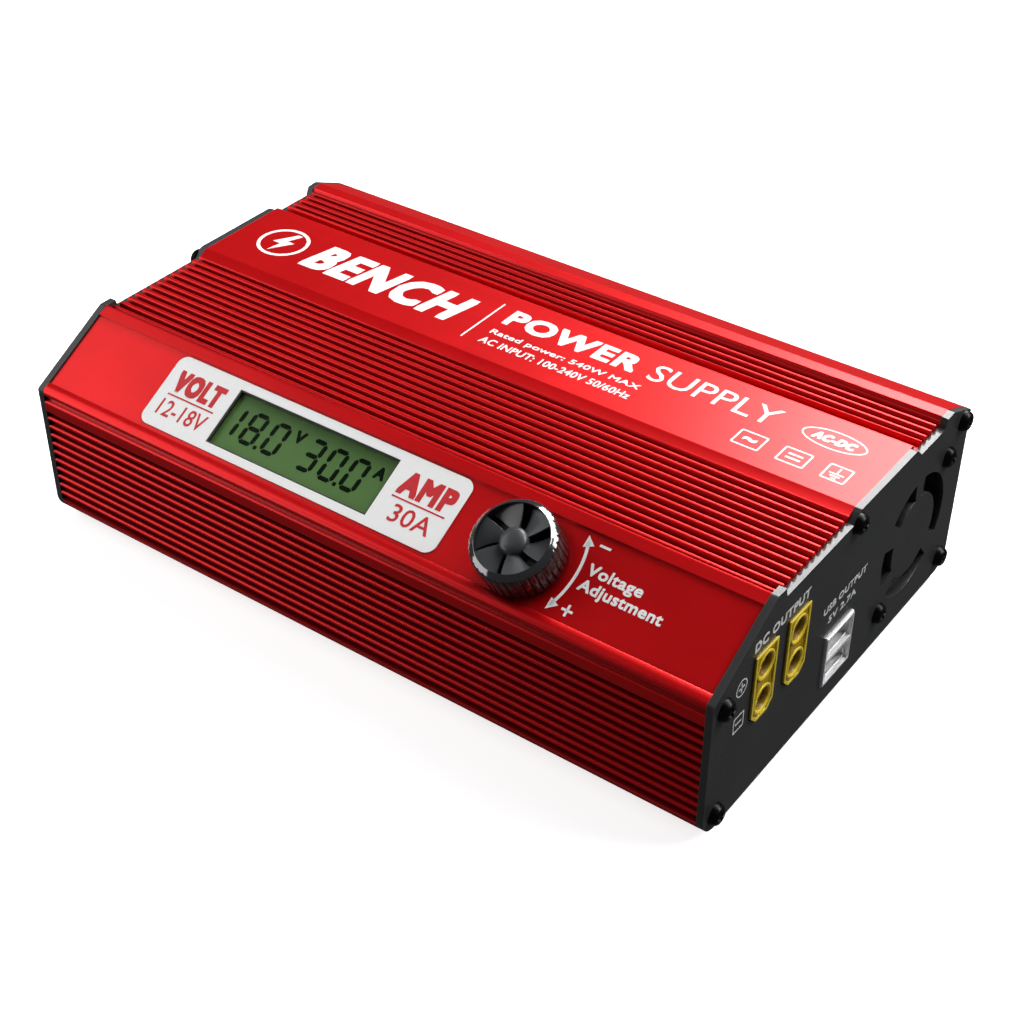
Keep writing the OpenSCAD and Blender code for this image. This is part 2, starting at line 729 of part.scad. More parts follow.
module fan_rotor() {
    cup_t = 1;
    color([0.1, 0.1, 0.1]) place() union() {
        difference() {
            x_rod(fan_x + 1.9, fan, fan_hub_r - 0.5, 7);
            x_rod(fan_x + 1, fan, fan_hub_r - 0.5 - cup_t, 6.9);
            x_rod(fan_x + 1, fan, fan_axle_r, 10);
        }
        intersection() {
            x_rod(fan_x + 1.9, fan, fan_duct_r - 0.7, 6.8);
            difference() {
                for (i = [0:fan_blades - 1]) translate([fan_x + 5.3, fan[0], fan[1]])
                    rotate([i * 360 / fan_blades, 0, 0]) translate([0, 0, fan_hub_r - 1.2])
                        rotate([0, 0, 48]) translate([-0.5, -5.6, 0]) cube([1, 11.2, fan_duct_r]);
                x_rod(fan_x, fan, fan_hub_r - 1.1, 12);
            }
        }
    }
}

module fan_shaft() {
    color("silver") place() x_rod(fan_x + 1, fan, fan_axle_r, 7.9);
}

module fan_screws() {
    color([0.08, 0.08, 0.08]) place() for (s = fan_bolts)
        translate([half_l, fan[0] + s[0], fan[1] + s[1]]) rotate([0, 90, 0])
            screw(screw_r, screw_head_r, screw_head_h - 0.2, fan_t + plate_t + 4);
}

module fan_nuts() {
    nut_t = 2.4;
    color("silver") place() for (s = fan_bolts) difference() {
        translate([fan_x - nut_t, fan[0] + s[0], fan[1] + s[1]]) rotate([0, 90, 0])
            cylinder(r = 3.2, h = nut_t, $fn = 6);
        x_rod(fan_x - nut_t - 1, fan + s, screw_r + 0.02, nut_t + 2);
    }
}

// ---- Circuit board and what stands on it ----

module main_board() {
    color("darkgreen") place() difference() {
        union() {
            translate([-99, -board_half_w, board_z]) cube([191, 2 * board_half_w, board_t]);
            translate([91, -board_half_w, board_z]) cube([14, board_half_w + 12, board_t]);
        }
        for (b = board_bolts) translate([b[0], b[1], 0]) cylinder(r = 1.7, h = 20);
    }
}

module board_standoffs() {
    color("goldenrod") place() for (b = board_bolts) translate([b[0], b[1], floor_t]) difference() {
        cylinder(r = 3.2, h = board_z - floor_t, $fn = 6);
        translate([0, 0, 0.5]) cylinder(r = 1.5, h = 10);
    }
}

module board_screws() {
    color("silver") place() for (b = board_bolts) translate([b[0], b[1], board_top])
        screw(screw_r, 2.9, 1.6, 4.8);
}

// A block that stands on the board: centre across, size along X, Y and Z
module on_board(at, size) {
    translate([at[0] - size[0] / 2, at[1] - size[1] / 2, board_top]) cube(size);
}

module transformer_core() {
    color([0.2, 0.2, 0.22]) place() difference() {
        on_board(transformer, [42, 15, 34]);
        for (side = [-1, 1]) translate([0, 0, 4]) on_board(transformer + [side * 11, 0], [8.8, 20, 26]);
    }
}

module transformer_winding() {
    color([0.85, 0.75, 0.3]) place() difference() {
        translate([transformer[0], transformer[1], board_top + 4.1]) cylinder(r = 15, h = 25.8);
        on_board(transformer, [13.3, 15.1, 60]);
    }
}

module ring_core(at, r_in, r_out, h) {
    translate([at[0], at[1], board_top + 1.5]) rotate_extrude()
        translate([r_in, 0]) square([r_out - r_in, h]);
}

// Turns of wire round a ring core: turns start at each of the angles in starts
module ring_winding(at, r_in, r_out, h, wire, starts, turns, step) {
    turn = [r_out - r_in + 2 * wire, wire, h + 2 * wire];
    difference() {
        for (start = starts) for (i = [0:turns - 1])
            translate([at[0], at[1], board_top + 1.5 - wire]) rotate([0, 0, start + i * step])
                translate([r_in - wire, -wire / 2, 0]) cube(turn);
        ring_core(at, r_in, r_out, h);
    }
}

module choke_core() {
    color([0.85, 0.75, 0.2]) place() ring_core(choke, 8.5, 14.5, 11);
}

module choke_winding() {
    color([0.72, 0.4, 0.15]) place() ring_winding(choke, 8.5, 14.5, 11, 1.4, [0], 18, 20);
}

module line_filter_core() {
    color([0.25, 0.4, 0.25]) place() ring_core(line_filter, 6.5, 11, 9);
}

module line_filter_winding() {
    color([0.72, 0.4, 0.15]) place() ring_winding(line_filter, 6.5, 11, 9, 1.2, [20, 200], 7, 20);
}

module capacitor(at, r, h) {
    translate([at[0], at[1], board_top]) rotate_extrude() polygon([[0, 0], [r - 0.5, 0], [r, 0.5],
        [r, 2.5], [r - 0.5, 3.1], [r, 3.7], [r, h - 0.6], [r - 0.6, h], [0, h]]);
}

module bulk_capacitors() {
    color([0.1, 0.12, 0.3]) place() for (y = [-20, 6, 32]) capacitor([-58, y], 12, 38);
}

module output_capacitors() {
    color([0.1, 0.12, 0.3]) place() for (x = [58, 70, 82]) for (y = [-8, 6]) capacitor([x, y], 5, 22);
}

// A flat plate with fins on one side, standing on the board. side is +1 or -1 along Y
module heatsink(x0, x1, y, side, h, fin) {
    base = 3;
    step = 8;
    span = x1 - x0;
    union() {
        on_board([(x0 + x1) / 2, y + side * base / 2], [span, base, h]);
        for (i = [0:floor((span - 2) / step)])
            on_board([x0 + 1 + i * step, y + side * (base + fin / 2 - 0.05)], [1.6, fin + 0.1, h]);
    }
}

module primary_heatsink() {
    color("silver") place() heatsink(-44, 50, 40, 1, 36, 9.5);
}

module secondary_heatsink() {
    color("silver") place() heatsink(40, 78, -30, -1, 20, 9.5);
}

module power_transistors() {
    color([0.12, 0.12, 0.12]) place() {
        for (x = [-34, -10]) translate([0, 0, 6]) on_board([x, 37.5], [16, 5, 21]);
        for (x = [49, 69]) translate([0, 0, 1]) on_board([x, -27.5], [15, 5, 18]);
    }
}

module bridge_rectifier() {
    color([0.12, 0.12, 0.12]) place() translate([0, 0, 5]) on_board([18, 38], [26, 4, 18]);
}

module line_fuse() {
    color("ivory") place() x_rod(-96, [2, board_top + 2.6], 2.6, 20);
}

module inrush_relay() {
    color([0.1, 0.3, 0.6]) place() on_board([-80, 46], [14, 12, 16]);
}

module control_board() {
    color("darkgreen") place() on_board([66, 26], [40, 1.6, 24]);
}

// A stiff wire that leaves [x, y, z] level, towards the middle, and turns down to the board at x_turn
module lead(from, x_turn, r) {
    length = abs(from[0] - x_turn);
    translate([min(from[0], x_turn), 0, 0]) x_rod(0, [from[1], from[2]], r, length);
    translate([x_turn, from[1], from[2]]) sphere(r = r);
    translate([x_turn, from[1], board_top]) cylinder(r = r, h = from[2] - board_top);
}

module ac_leads() {
    r = 1.2;
    pin_end = inlet_pin_x + inlet_pin_l;
    terminal_end = terminal_x + terminal_l;
    color([0.5, 0.3, 0.15]) place() {
        for (p = inlet_pins) lead([pin_end, inlet[0] + p[0], inlet[1] + p[1]], -83, r);
        lead([terminal_end, switch_at[0], switch_at[1] + terminal_up], -80, r);
        lead([terminal_end, switch_at[0], switch_at[1] - terminal_up], -84, r);
    }
}

module dc_leads() {
    r = 2;
    stub_x = socket_rear_x - contact_stub_l;
    color("darkred") place() for (at = [socket_a, socket_b]) {
        lead([stub_x, at[0], at[1] + contact_pitch / 2], 83, r);
        lead([stub_x, at[0], at[1] - contact_pitch / 2], 87.3, r);
    }
}

module fan_lead() {
    color([0.1, 0.1, 0.1]) place() for (y = [48.5, 51]) lead([fan_x, y, 9.2], 89.5, 0.8);
}

top_cover();
lower_shell();
output_end_plate();
input_end_plate();
output_plate_screws();
input_plate_screws();
rubber_feet();
front_label();
lcd_glass();
lcd_cell();
lcd_bezel();
display_board();
display_spacers();
display_screws();
knob();
pot_shaft();
pot_body();
pot_nut();
pot_washer();
dc_socket_a();
dc_socket_b();
dc_contacts();
usb_shell();
usb_tongues();
usb_contacts();
ac_inlet_housing();
ac_inlet_pins();
ac_inlet_screws();
switch_housing();
switch_rocker();
switch_pivot();
switch_terminals();
fan_frame();
fan_bearing();
fan_stator();
fan_rotor();
fan_shaft();
fan_screws();
fan_nuts();
main_board();
board_standoffs();
board_screws();
transformer_core();
transformer_winding();
choke_core();
choke_winding();
line_filter_core();
line_filter_winding();
bulk_capacitors();
output_capacitors();
primary_heatsink();
secondary_heatsink();
power_transistors();
bridge_rectifier();
line_fuse();
inrush_relay();
control_board();
ac_leads();
dc_leads();
fan_lead();
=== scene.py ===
"""Looks of a bench power supply in a ribbed red case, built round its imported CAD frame.

Lengths are in metres, and +X points to the outlet end."""
import json
import math

import bmesh
import bpy
from mathutils import Matrix, Vector


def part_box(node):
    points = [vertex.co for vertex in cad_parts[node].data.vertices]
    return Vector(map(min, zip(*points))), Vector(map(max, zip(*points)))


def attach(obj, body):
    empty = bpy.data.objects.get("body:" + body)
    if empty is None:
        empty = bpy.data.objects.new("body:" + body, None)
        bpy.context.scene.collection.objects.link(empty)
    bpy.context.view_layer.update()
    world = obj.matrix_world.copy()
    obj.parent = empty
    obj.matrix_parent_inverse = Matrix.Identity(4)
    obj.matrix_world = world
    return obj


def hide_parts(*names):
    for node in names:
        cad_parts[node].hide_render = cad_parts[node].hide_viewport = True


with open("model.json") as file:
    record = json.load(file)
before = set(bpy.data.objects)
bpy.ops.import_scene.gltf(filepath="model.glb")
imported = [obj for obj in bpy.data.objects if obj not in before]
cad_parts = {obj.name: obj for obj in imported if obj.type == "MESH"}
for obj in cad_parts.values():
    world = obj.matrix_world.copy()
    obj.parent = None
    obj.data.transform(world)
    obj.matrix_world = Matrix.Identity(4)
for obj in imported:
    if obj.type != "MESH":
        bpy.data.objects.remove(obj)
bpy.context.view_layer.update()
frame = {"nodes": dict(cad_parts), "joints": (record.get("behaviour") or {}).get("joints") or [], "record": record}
MM = 0.001
CASE = "case"
# Print: its thickness, how far it stands off a surface, and the step between overlapping letters.
INK_T = 0.03 * MM
PRINT_GAP = 0.004 * MM
PRINT_STEP = 0.001 * MM
# Wear: how far it reaches in from an edge, and how straight a surface counts as worn or as flat.
WEAR_REACH = 0.4 * MM
WORN, FLAT = 0.80, 0.98
# How far apart the walls of a groove or a well may stand and still get painted shade.
GROOVE_SHADE_REACH = 3 * MM
WELL_SHADE_REACH = 4 * MM
# Mesh steps.
CORNER_STEPS = 6
PLATE_CELLS = 8
BEVEL_SEGMENTS = 2
BEVEL_ANGLE = 32
WELD = 1e-6
JOINTS = {joint["name"]: joint for joint in frame["joints"]}

# ---- Places, all from the frame ----

TRAY_LOW, TRAY_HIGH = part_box("lower_shell")
MID_Y = (TRAY_LOW.y + TRAY_HIGH.y) / 2
FOOT = TRAY_LOW.z
TOP_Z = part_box("top_cover")[1].z
OUTLET_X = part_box("output_end_plate")[1].x
MAINS_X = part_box("input_end_plate")[0].x
PANEL_DROP = 0.5 * MM

KNOB_AT = Vector(JOINTS["knob_turn"]["pos_m"])
FACE_OUT = Vector(JOINTS["knob_turn"]["axis"]).normalized()
FACE_UP = FACE_OUT.cross(Vector((1, 0, 0))).normalized()


def frame_matrix(origin, across, up):
    """A placement: local X along across, local Y along up, local Z out of the surface."""
    out = across.cross(up)
    matrix = Matrix((across, up, out)).transposed().to_4x4()
    matrix.translation = origin
    return matrix


def on_face(x, up, out=0.0):
    """On the sloped face: x along the case from its left end, up the slope from the knob's middle, in metres."""
    origin = Vector((MAINS_X + x, KNOB_AT.y, KNOB_AT.z)) + FACE_UP * up + FACE_OUT * (out - PANEL_DROP)
    return frame_matrix(origin, Vector((1, 0, 0)), FACE_UP)


def on_band(x, y):
    """On the flat band of the cover, in mm: x from the left end, y from the middle of the case."""
    origin = Vector((MAINS_X + x * MM, MID_Y + y * MM, TOP_Z + PRINT_GAP))
    return frame_matrix(origin, Vector((1, 0, 0)), Vector((0, 1, 0)))


def on_outlet_end(y, z, out=0.0):
    return frame_matrix(Vector((OUTLET_X + out, MID_Y + y, FOOT + z)), Vector((0, 1, 0)), Vector((0, 0, 1)))


def on_mains_end(y, z, out=0.0):
    return frame_matrix(Vector((MAINS_X - out, MID_Y + y, FOOT + z)), Vector((0, -1, 0)), Vector((0, 0, 1)))


# ---- Materials ----


class Nodes:
    """A short way to build a node tree."""

    def __init__(self, name):
        self.material = bpy.data.materials.new(name)
        self.material.use_nodes = True
        self.tree = self.material.node_tree
        self.tree.nodes.clear()
        self.output = self.add("ShaderNodeOutputMaterial")

    def add(self, kind, **settings):
        made = self.tree.nodes.new(kind)
        for key, value in settings.items():
            setattr(made, key, value)
        return made

    def link(self, source, target):
        self.tree.links.new(source, target)

    def noise(self, scale, stretch=(1, 1, 1), detail=4.0):
        """Noise in the object's frame: scale is in features per metre, stretch multiplies it along each axis."""
        place = self.add("ShaderNodeTexCoord")
        mapping = self.add("ShaderNodeMapping")
        mapping.inputs["Scale"].default_value = [scale * s for s in stretch]
        noise = self.add("ShaderNodeTexNoise")
        noise.inputs["Scale"].default_value = 1.0
        noise.inputs["Detail"].default_value = detail
        self.link(place.outputs["Object"], mapping.inputs["Vector"])
        self.link(mapping.outputs["Vector"], noise.inputs["Vector"])
        return noise.outputs["Fac"]

    def between(self, factor, low, high, start=0.3, end=0.7):
        """Maps a factor to the range low to high."""
        span = self.add("ShaderNodeMapRange")
        span.inputs["From Min"].default_value = start
        span.inputs["From Max"].default_value = end
        span.inputs["To Min"].default_value = low
        span.inputs["To Max"].default_value = high
        self.link(factor, span.inputs["Value"])
        return span.outputs["Result"]

    def mix(self, factor, first, second):
        """Blends two colours; either may be a socket."""
        mixer = self.add("ShaderNodeMix", data_type="RGBA")
        if isinstance(factor, float):
            mixer.inputs["Factor"].default_value = factor
        else:
            self.link(factor, mixer.inputs["Factor"])
        for slot, value in (("A", first), ("B", second)):
            target = [s for s in mixer.inputs if s.name == slot and s.type == "RGBA"][0]
            if isinstance(value, tuple):
                target.default_value = (*value, 1.0)
            else:
                self.link(value, target)
        return [s for s in mixer.outputs if s.type == "RGBA"][0]

    def bump(self, height, distance, strength=1.0):
        made = self.add("ShaderNodeBump")
        made.inputs["Distance"].default_value = distance
        made.inputs["Strength"].default_value = strength
        self.link(height, made.inputs["Height"])
        return made.outputs["Normal"]

    def painted_hollow_shade(self, reach, power=1.0):
        """Painted shade: 1 in the open, falling to 0 in narrow hollow places within reach metres, where the colour is
        darkened.
        """
        shade = self.add("ShaderNodeAmbientOcclusion", samples=8)
        shade.inputs["Distance"].default_value = reach
        curve = self.add("ShaderNodeMath", operation="POWER")
        curve.inputs[1].default_value = power
        self.link(shade.outputs["AO"], curve.inputs[0])
        return curve.outputs["Value"]

    def edges(self):
        """1 along edges, where a finish wears, and 0 on flats: a rounded normal leans away from the true one."""
        rounded = self.add("ShaderNodeBevel", samples=4)
        rounded.inputs["Radius"].default_value = WEAR_REACH
        geometry = self.add("ShaderNodeNewGeometry")
        lean = self.add("ShaderNodeVectorMath", operation="DOT_PRODUCT")
        self.link(rounded.outputs["Normal"], lean.inputs[0])
        self.link(geometry.outputs["Normal"], lean.inputs[1])
        return self.between(lean.outputs["Value"], 1.0, 0.0, WORN, FLAT)

    def surface(self, colour, roughness, normal=None, **values):
        shader = self.add("ShaderNodeBsdfPrincipled")
        for key, value in (("Base Color", colour), ("Roughness", roughness)):
            if isinstance(value, tuple):
                shader.inputs[key].default_value = (*value, 1.0)
            elif isinstance(value, float):
                shader.inputs[key].default_value = value
            else:
                self.link(value, shader.inputs[key])
        for key, value in values.items():
            shader.inputs[key.replace("_", " ")].default_value = value
        if normal:
            self.link(normal, shader.inputs["Normal"])
        self.link(shader.outputs["BSDF"], self.output.inputs["Surface"])
        return shader


def anodised(name, colour, deep, worn, roughness, metallic, grain=2500, shade=1.6, coat=0.0, tint=(1, 1, 1)):
    """Dyed aluminium: draw lines along the extrusion, cloudy dye, paler worn edges, painted shade in grooves by
    shade.
    """
    n = Nodes(name)
    lines = n.noise(grain, (0.012, 1, 1), 2.0)
    cloud = n.noise(35, detail=3.0)
    body = n.mix(n.between(cloud, 0.0, 1.0), deep, colour)
    worn_edge = n.mix(n.edges(), body, worn)
    # Painted shade: grooves and hollow places are darkened towards a dim copy of the deep dye.
    shaded = n.mix(n.painted_hollow_shade(GROOVE_SHADE_REACH, shade), tuple(c * 0.06 for c in deep), worn_edge)
    rough = n.between(lines, roughness - 0.04, roughness + 0.05)
    n.surface(shaded, rough, n.bump(lines, 0.00002, 0.2), Metallic=metallic, Specular_IOR_Level=0.25,
              Specular_Tint=(*tint, 1), Coat_Weight=coat, Coat_Roughness=0.3 if metallic else 0.12)
    return n.material


def moulded(name, colour, pale, roughness, texture=0.00001, scale=2600, coat=0.0, shade=0.0):
    """Moulded plastic: spark-eroded grain, slight colour drift, edges a little paler, painted shade in hollow places
    by shade.
    """
    n = Nodes(name)
    grain = n.noise(scale, detail=3.0)
    drift = n.noise(60, detail=2.0)
    body = n.mix(n.between(drift, 0.0, 0.5), colour, pale)
    # Painted shade: wells and corners are darkened towards a dim copy of the colour.
    if shade:
        body = n.mix(n.painted_hollow_shade(WELL_SHADE_REACH, shade), tuple(c * 0.08 for c in colour), body)
    edge = n.mix(n.between(n.edges(), 0.0, 0.35, 0.0, 1.0), body, pale)
    rough = n.between(grain, roughness - 0.06, roughness + 0.06)
    n.surface(edge, rough, n.bump(grain, texture, 0.5), Coat_Weight=coat, Coat_Roughness=0.08)
    return n.material


def metal(name, colour, tarnish, roughness, stretch=(1, 1, 1), metallic=1.0):
    """Bare or plated metal with fine scratches and faint tarnish. A dull plating is less metallic."""
    n = Nodes(name)
    scratch = n.noise(3000, stretch, 2.0)
    stain = n.noise(180, detail=3.0)
    body = n.mix(n.between(stain, 0.0, 0.6), colour, tarnish)
    rough = n.between(scratch, roughness - 0.08, roughness + 0.1)
    n.surface(body, rough, n.bump(scratch, 0.000008, 0.4), Metallic=metallic)
    return n.material


def polished(name, colour, dusty):
    """Hard plastic rubbed to a shine, faintly uneven."""
    n = Nodes(name)
    cloud = n.between(n.noise(1500, detail=3.0), 0.0, 1.0)
    n.surface(n.mix(cloud, colour, dusty), n.between(cloud, 0.10, 0.16), n.bump(cloud, 0.000004, 0.3),
              Specular_IOR_Level=1.0, Coat_Weight=1.0, Coat_Roughness=0.08, Coat_IOR=1.8)
    return n.material


def ink(name, colour, thin, roughness=0.45, gloss=0.5):
    """Screen printing: slightly uneven cover, with a faint orange-peel surface."""
    n = Nodes(name)
    mottled = n.noise(900, detail=3.0)
    n.surface(n.mix(n.between(mottled, 0.0, 0.5), colour, thin), n.between(mottled, roughness, roughness + 0.12),
              n.bump(mottled, 0.000006, 0.4), Specular_IOR_Level=gloss)
    return n.material


def circuit_board(name):
    """Solder mask over copper: paler tracks under the green, from a coarse brick pattern."""
    n = Nodes(name)
    place = n.add("ShaderNodeTexCoord")
    bricks = n.add("ShaderNodeTexBrick")
    bricks.inputs["Scale"].default_value = 260.0
    bricks.inputs["Mortar Size"].default_value = 0.04
    n.link(place.outputs["Object"], bricks.inputs["Vector"])
    mask = n.mix(bricks.outputs["Fac"], (0.008, 0.10, 0.035), (0.02, 0.22, 0.08))
    n.surface(mask, n.between(n.noise(900), 0.25, 0.4), n.bump(bricks.outputs["Fac"], 0.00003, 0.5),
              Coat_Weight=0.3)
    return n.material


def wound_copper(name):
    """Enamelled wire: fine turns side by side."""
    n = Nodes(name)
    place = n.add("ShaderNodeTexCoord")
    wave = n.add("ShaderNodeTexWave", bands_direction="DIAGONAL")
    wave.inputs["Scale"].default_value = 350.0
    n.link(place.outputs["Object"], wave.inputs["Vector"])
    body = n.mix(wave.outputs["Fac"], (0.30, 0.09, 0.02), (0.72, 0.34, 0.12))
    n.surface(body, 0.32, n.bump(wave.outputs["Fac"], 0.00008, 0.6), Metallic=0.85, Coat_Weight=0.5)
    return n.material


def clear_window(name):
    """A thin clear window: mostly see-through, with a faint gloss that grows at low angles."""
    n = Nodes(name)
    clear = n.add("ShaderNodeBsdfTransparent")
    clear.inputs["Color"].default_value = (0.93, 0.97, 0.93, 1.0)
    gloss = n.add("ShaderNodeBsdfGlossy")
    n.link(n.between(n.noise(700), 0.05, 0.12), gloss.inputs["Roughness"])
    fresnel = n.add("ShaderNodeFresnel")
    fresnel.inputs["IOR"].default_value = 1.15
    mixer = n.add("ShaderNodeMixShader")
    n.link(n.between(fresnel.outputs["Fac"], 0.0, 0.15, 0.0, 1.0), mixer.inputs["Fac"])
    n.link(clear.outputs["BSDF"], mixer.inputs[1])
    n.link(gloss.outputs["BSDF"], mixer.inputs[2])
    n.link(mixer.outputs["Shader"], n.output.inputs["Surface"])
    return n.material


MATERIALS = {
    # case_red and plate_black carry painted shade in their grooves (the shade argument: 1.3 and 0.5).
    "case_red": anodised("case_red", (0.74, 0.004, 0.007), (0.65, 0.003, 0.005), (0.85, 0.015, 0.015), 0.33, 0.55,
                         shade=1.3, coat=0.3, tint=(1.0, 0.2, 0.18)),
    "plate_black": anodised("plate_black", (0.037, 0.037, 0.038), (0.029, 0.029, 0.030), (0.07, 0.07, 0.07),
                            0.47, 0.0, 1800, 0.5, 0.3),
    "screw_black": metal("screw_black", (0.012, 0.012, 0.013), (0.03, 0.03, 0.03), 0.3),
    "foot_rubber": moulded("foot_rubber", (0.02, 0.02, 0.02), (0.05, 0.05, 0.05), 0.8, 0.00004, 1500),
    "label_white": ink("label_white", (0.92, 0.92, 0.91), (0.88, 0.88, 0.87), 0.4),
    "display_glass": clear_window("display_glass"),
    "display_green": moulded("display_green", (0.11, 0.20, 0.055), (0.135, 0.235, 0.07), 0.6, 0.000004, 4000),
    "black_plastic": moulded("black_plastic", (0.018, 0.018, 0.019), (0.05, 0.05, 0.052), 0.45),
    "rocker_black": moulded("rocker_black", (0.012, 0.012, 0.013), (0.04, 0.04, 0.04), 0.22, coat=0.4),
    "knob_black": moulded("knob_black", (0.006, 0.006, 0.007), (0.014, 0.014, 0.016), 0.3, 0.000004, coat=0.4),
    "steel": metal("steel", (0.62, 0.62, 0.63), (0.42, 0.41, 0.40), 0.28),
    # The sockets' yellow in two copies: socket_yellow is the darker, shaded copy for the faces, with strong painted
    # shade in its wells, and the rim material below is the paler, lit copy.
    "socket_yellow": moulded("socket_yellow", (0.52, 0.31, 0.006), (0.66, 0.42, 0.012), 0.4, coat=0.1, shade=3.0),
    "contact_gold": metal("contact_gold", (0.86, 0.58, 0.20), (0.60, 0.36, 0.10), 0.22),
    "usb_metal": metal("usb_metal", (0.95, 0.95, 0.96), (0.86, 0.86, 0.86), 0.35, metallic=0.35),
    "usb_white": moulded("usb_white", (0.86, 0.86, 0.86), (0.92, 0.92, 0.92), 0.35),
    "fan_plastic": moulded("fan_plastic", (0.010, 0.010, 0.010), (0.035, 0.035, 0.036), 0.5),
    "copper": wound_copper("copper"),
    "board_green": circuit_board("board_green"),
    "ferrite": moulded("ferrite", (0.03, 0.03, 0.032), (0.07, 0.07, 0.075), 0.6, 0.00003, 1400),
    "tape_yellow": moulded("tape_yellow", (0.70, 0.52, 0.06), (0.85, 0.68, 0.16), 0.35, coat=0.3),
    "capacitor_sleeve": moulded("capacitor_sleeve", (0.015, 0.02, 0.09), (0.03, 0.04, 0.15), 0.25, coat=0.4),
    "heatsink": metal("heatsink", (0.70, 0.71, 0.72), (0.55, 0.55, 0.56), 0.38, (1, 1, 0.02)),
    "ceramic": moulded("ceramic", (0.78, 0.75, 0.66), (0.88, 0.86, 0.80), 0.3),
    "relay_blue": moulded("relay_blue", (0.01, 0.06, 0.28), (0.03, 0.12, 0.40), 0.3, coat=0.2),
    "lead_brown": moulded("lead_brown", (0.11, 0.04, 0.012), (0.18, 0.07, 0.03), 0.5),
    "lead_red": moulded("lead_red", (0.38, 0.008, 0.01), (0.5, 0.03, 0.03), 0.5),
    "lead_black": moulded("lead_black", (0.015, 0.015, 0.015), (0.04, 0.04, 0.04), 0.5),
}
BLADE_GREY = moulded("blade_grey", (0.040, 0.042, 0.045), (0.075, 0.077, 0.082), 0.38, 0.000004, coat=0.15)
# Painted light: the paler, lit copy of the sockets' yellow, for the raised rims.
SOCKET_RIM_LIT = moulded("socket_rim_lit", (0.92, 0.66, 0.02), (0.95, 0.74, 0.08), 0.3, coat=0.2)
POLISHED_BLACK = polished("polished_black", (0.012, 0.012, 0.013), (0.020, 0.020, 0.021))
INK_WHITE = ink("ink_white", (0.90, 0.90, 0.90), (0.78, 0.76, 0.76))
INK_RED = ink("ink_red", (0.62, 0.012, 0.018), (0.50, 0.010, 0.015))
INK_BLACK = ink("ink_black", (0.004, 0.008, 0.004), (0.008, 0.014, 0.007), 0.6, 0.05)

# ---- Mesh tools ----


class Shape:
    """Vertices and faces gathered from several forms, in metres, before they become one piece."""

    def __init__(self):
        self.points, self.faces = [], []

    def add(self, points, faces, matrix=Matrix()):
        base = len(self.points)
        self.points += [matrix @ Vector(p) for p in points]
        self.faces += [[base + i for i in face] for face in faces]
        return self

    def lathe(self, profile, matrix=Matrix(), steps=64, radius=lambda r, z, a: r):
        """Turns a profile of (radius, height) about local Z. Ends at radius 0 close to a point."""
        points, rings = [], []
        for r, z in profile:
            if r == 0:
                rings.append([len(points)] * steps)
                points.append((0, 0, z))
                continue
            rings.append(list(range(len(points), len(points) + steps)))
            for i in range(steps):
                a = 2 * math.pi * i / steps
                rr = radius(r, z, a)
                points.append((rr * math.cos(a), rr * math.sin(a), z))
        faces = []
        for low, high in zip(rings, rings[1:]):
            for i in range(steps):
                j = (i + 1) % steps
                face = list(dict.fromkeys([low[i], low[j], high[j], high[i]]))
                if len(face) > 2:
                    faces.append(face)
        return self.add(points, faces, matrix)

    def prism(self, outline, low, high, matrix=Matrix()):
        """A straight block over a closed outline of (x, y), counter-clockwise."""
        count = len(outline)
        points = [(x, y, low) for x, y in outline] + [(x, y, high) for x, y in outline]
        faces = [list(range(count))[::-1], list(range(count, 2 * count))]
        for i in range(count):
            j = (i + 1) % count
            faces.append([i, j, j + count, i + count])
        return self.add(points, faces, matrix)

    def frame(self, outer, inner, low, high, matrix=Matrix()):
        """A closed wall between two outlines with the same number of points."""
        count = len(outer)
        points = [(x, y, z) for ring in (outer, inner) for z in (low, high) for x, y in ring]
        faces = []
        for i in range(count):
            j = (i + 1) % count
            outer_low, outer_high, inner_low, inner_high = i, i + count, i + 2 * count, i + 3 * count
            step = j - i
            faces.append([outer_low, outer_low + step, outer_high + step, outer_high])
            faces.append([inner_low + step, inner_low, inner_high, inner_high + step])
            faces.append([outer_high, outer_high + step, inner_high + step, inner_high])
            faces.append([outer_low + step, outer_low, inner_low, inner_low + step])
        return self.add(points, faces, matrix)

    def plate(self, surface, thick, matrix=Matrix()):
        """A plate on a curved surface(out, across), out 0 to 1 and across -1 to 1, thick downwards along local Z."""
        rows = columns = PLATE_CELLS
        wide, size = columns + 1, (rows + 1) * (columns + 1)
        points, faces = [], []
        for drop in (0, thick):
            for row in range(rows + 1):
                for column in range(wide):
                    x, y, z = surface(row / rows, 2 * column / columns - 1)
                    points.append((x, y, z - drop))
        for row in range(rows):
            for column in range(columns):
                at = row * wide + column
                faces.append([at, at + wide, at + wide + 1, at + 1])
                faces.append([size + at, size + at + 1, size + at + wide + 1, size + at + wide])
        rim = [(row * wide + column, (row + 1) * wide + column) for row in range(rows) for column in (0, columns)]
        rim += [(row * wide + column, row * wide + column + 1) for column in range(columns) for row in (0, rows)]
        faces += [[a, b, size + b, size + a] for a, b in rim]
        return self.add(points, faces, matrix)

    def piece(self, name, material, slot, body=CASE, smooth=35, stands_for=(), bevel=0.0):
        mesh = bpy.data.meshes.new(name)
        mesh.from_pydata([tuple(p) for p in self.points], [], self.faces)
        tidy = bmesh.new()
        tidy.from_mesh(mesh)
        bmesh.ops.remove_doubles(tidy, verts=tidy.verts, dist=1e-7)
        bmesh.ops.recalc_face_normals(tidy, faces=tidy.faces)
        tidy.to_mesh(mesh)
        tidy.free()
        made = bpy.data.objects.new(name, mesh)
        bpy.context.scene.collection.objects.link(made)
        finish_piece(made, material, slot, body, smooth, bevel)
        if stands_for:
            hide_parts(*stands_for)
        return made


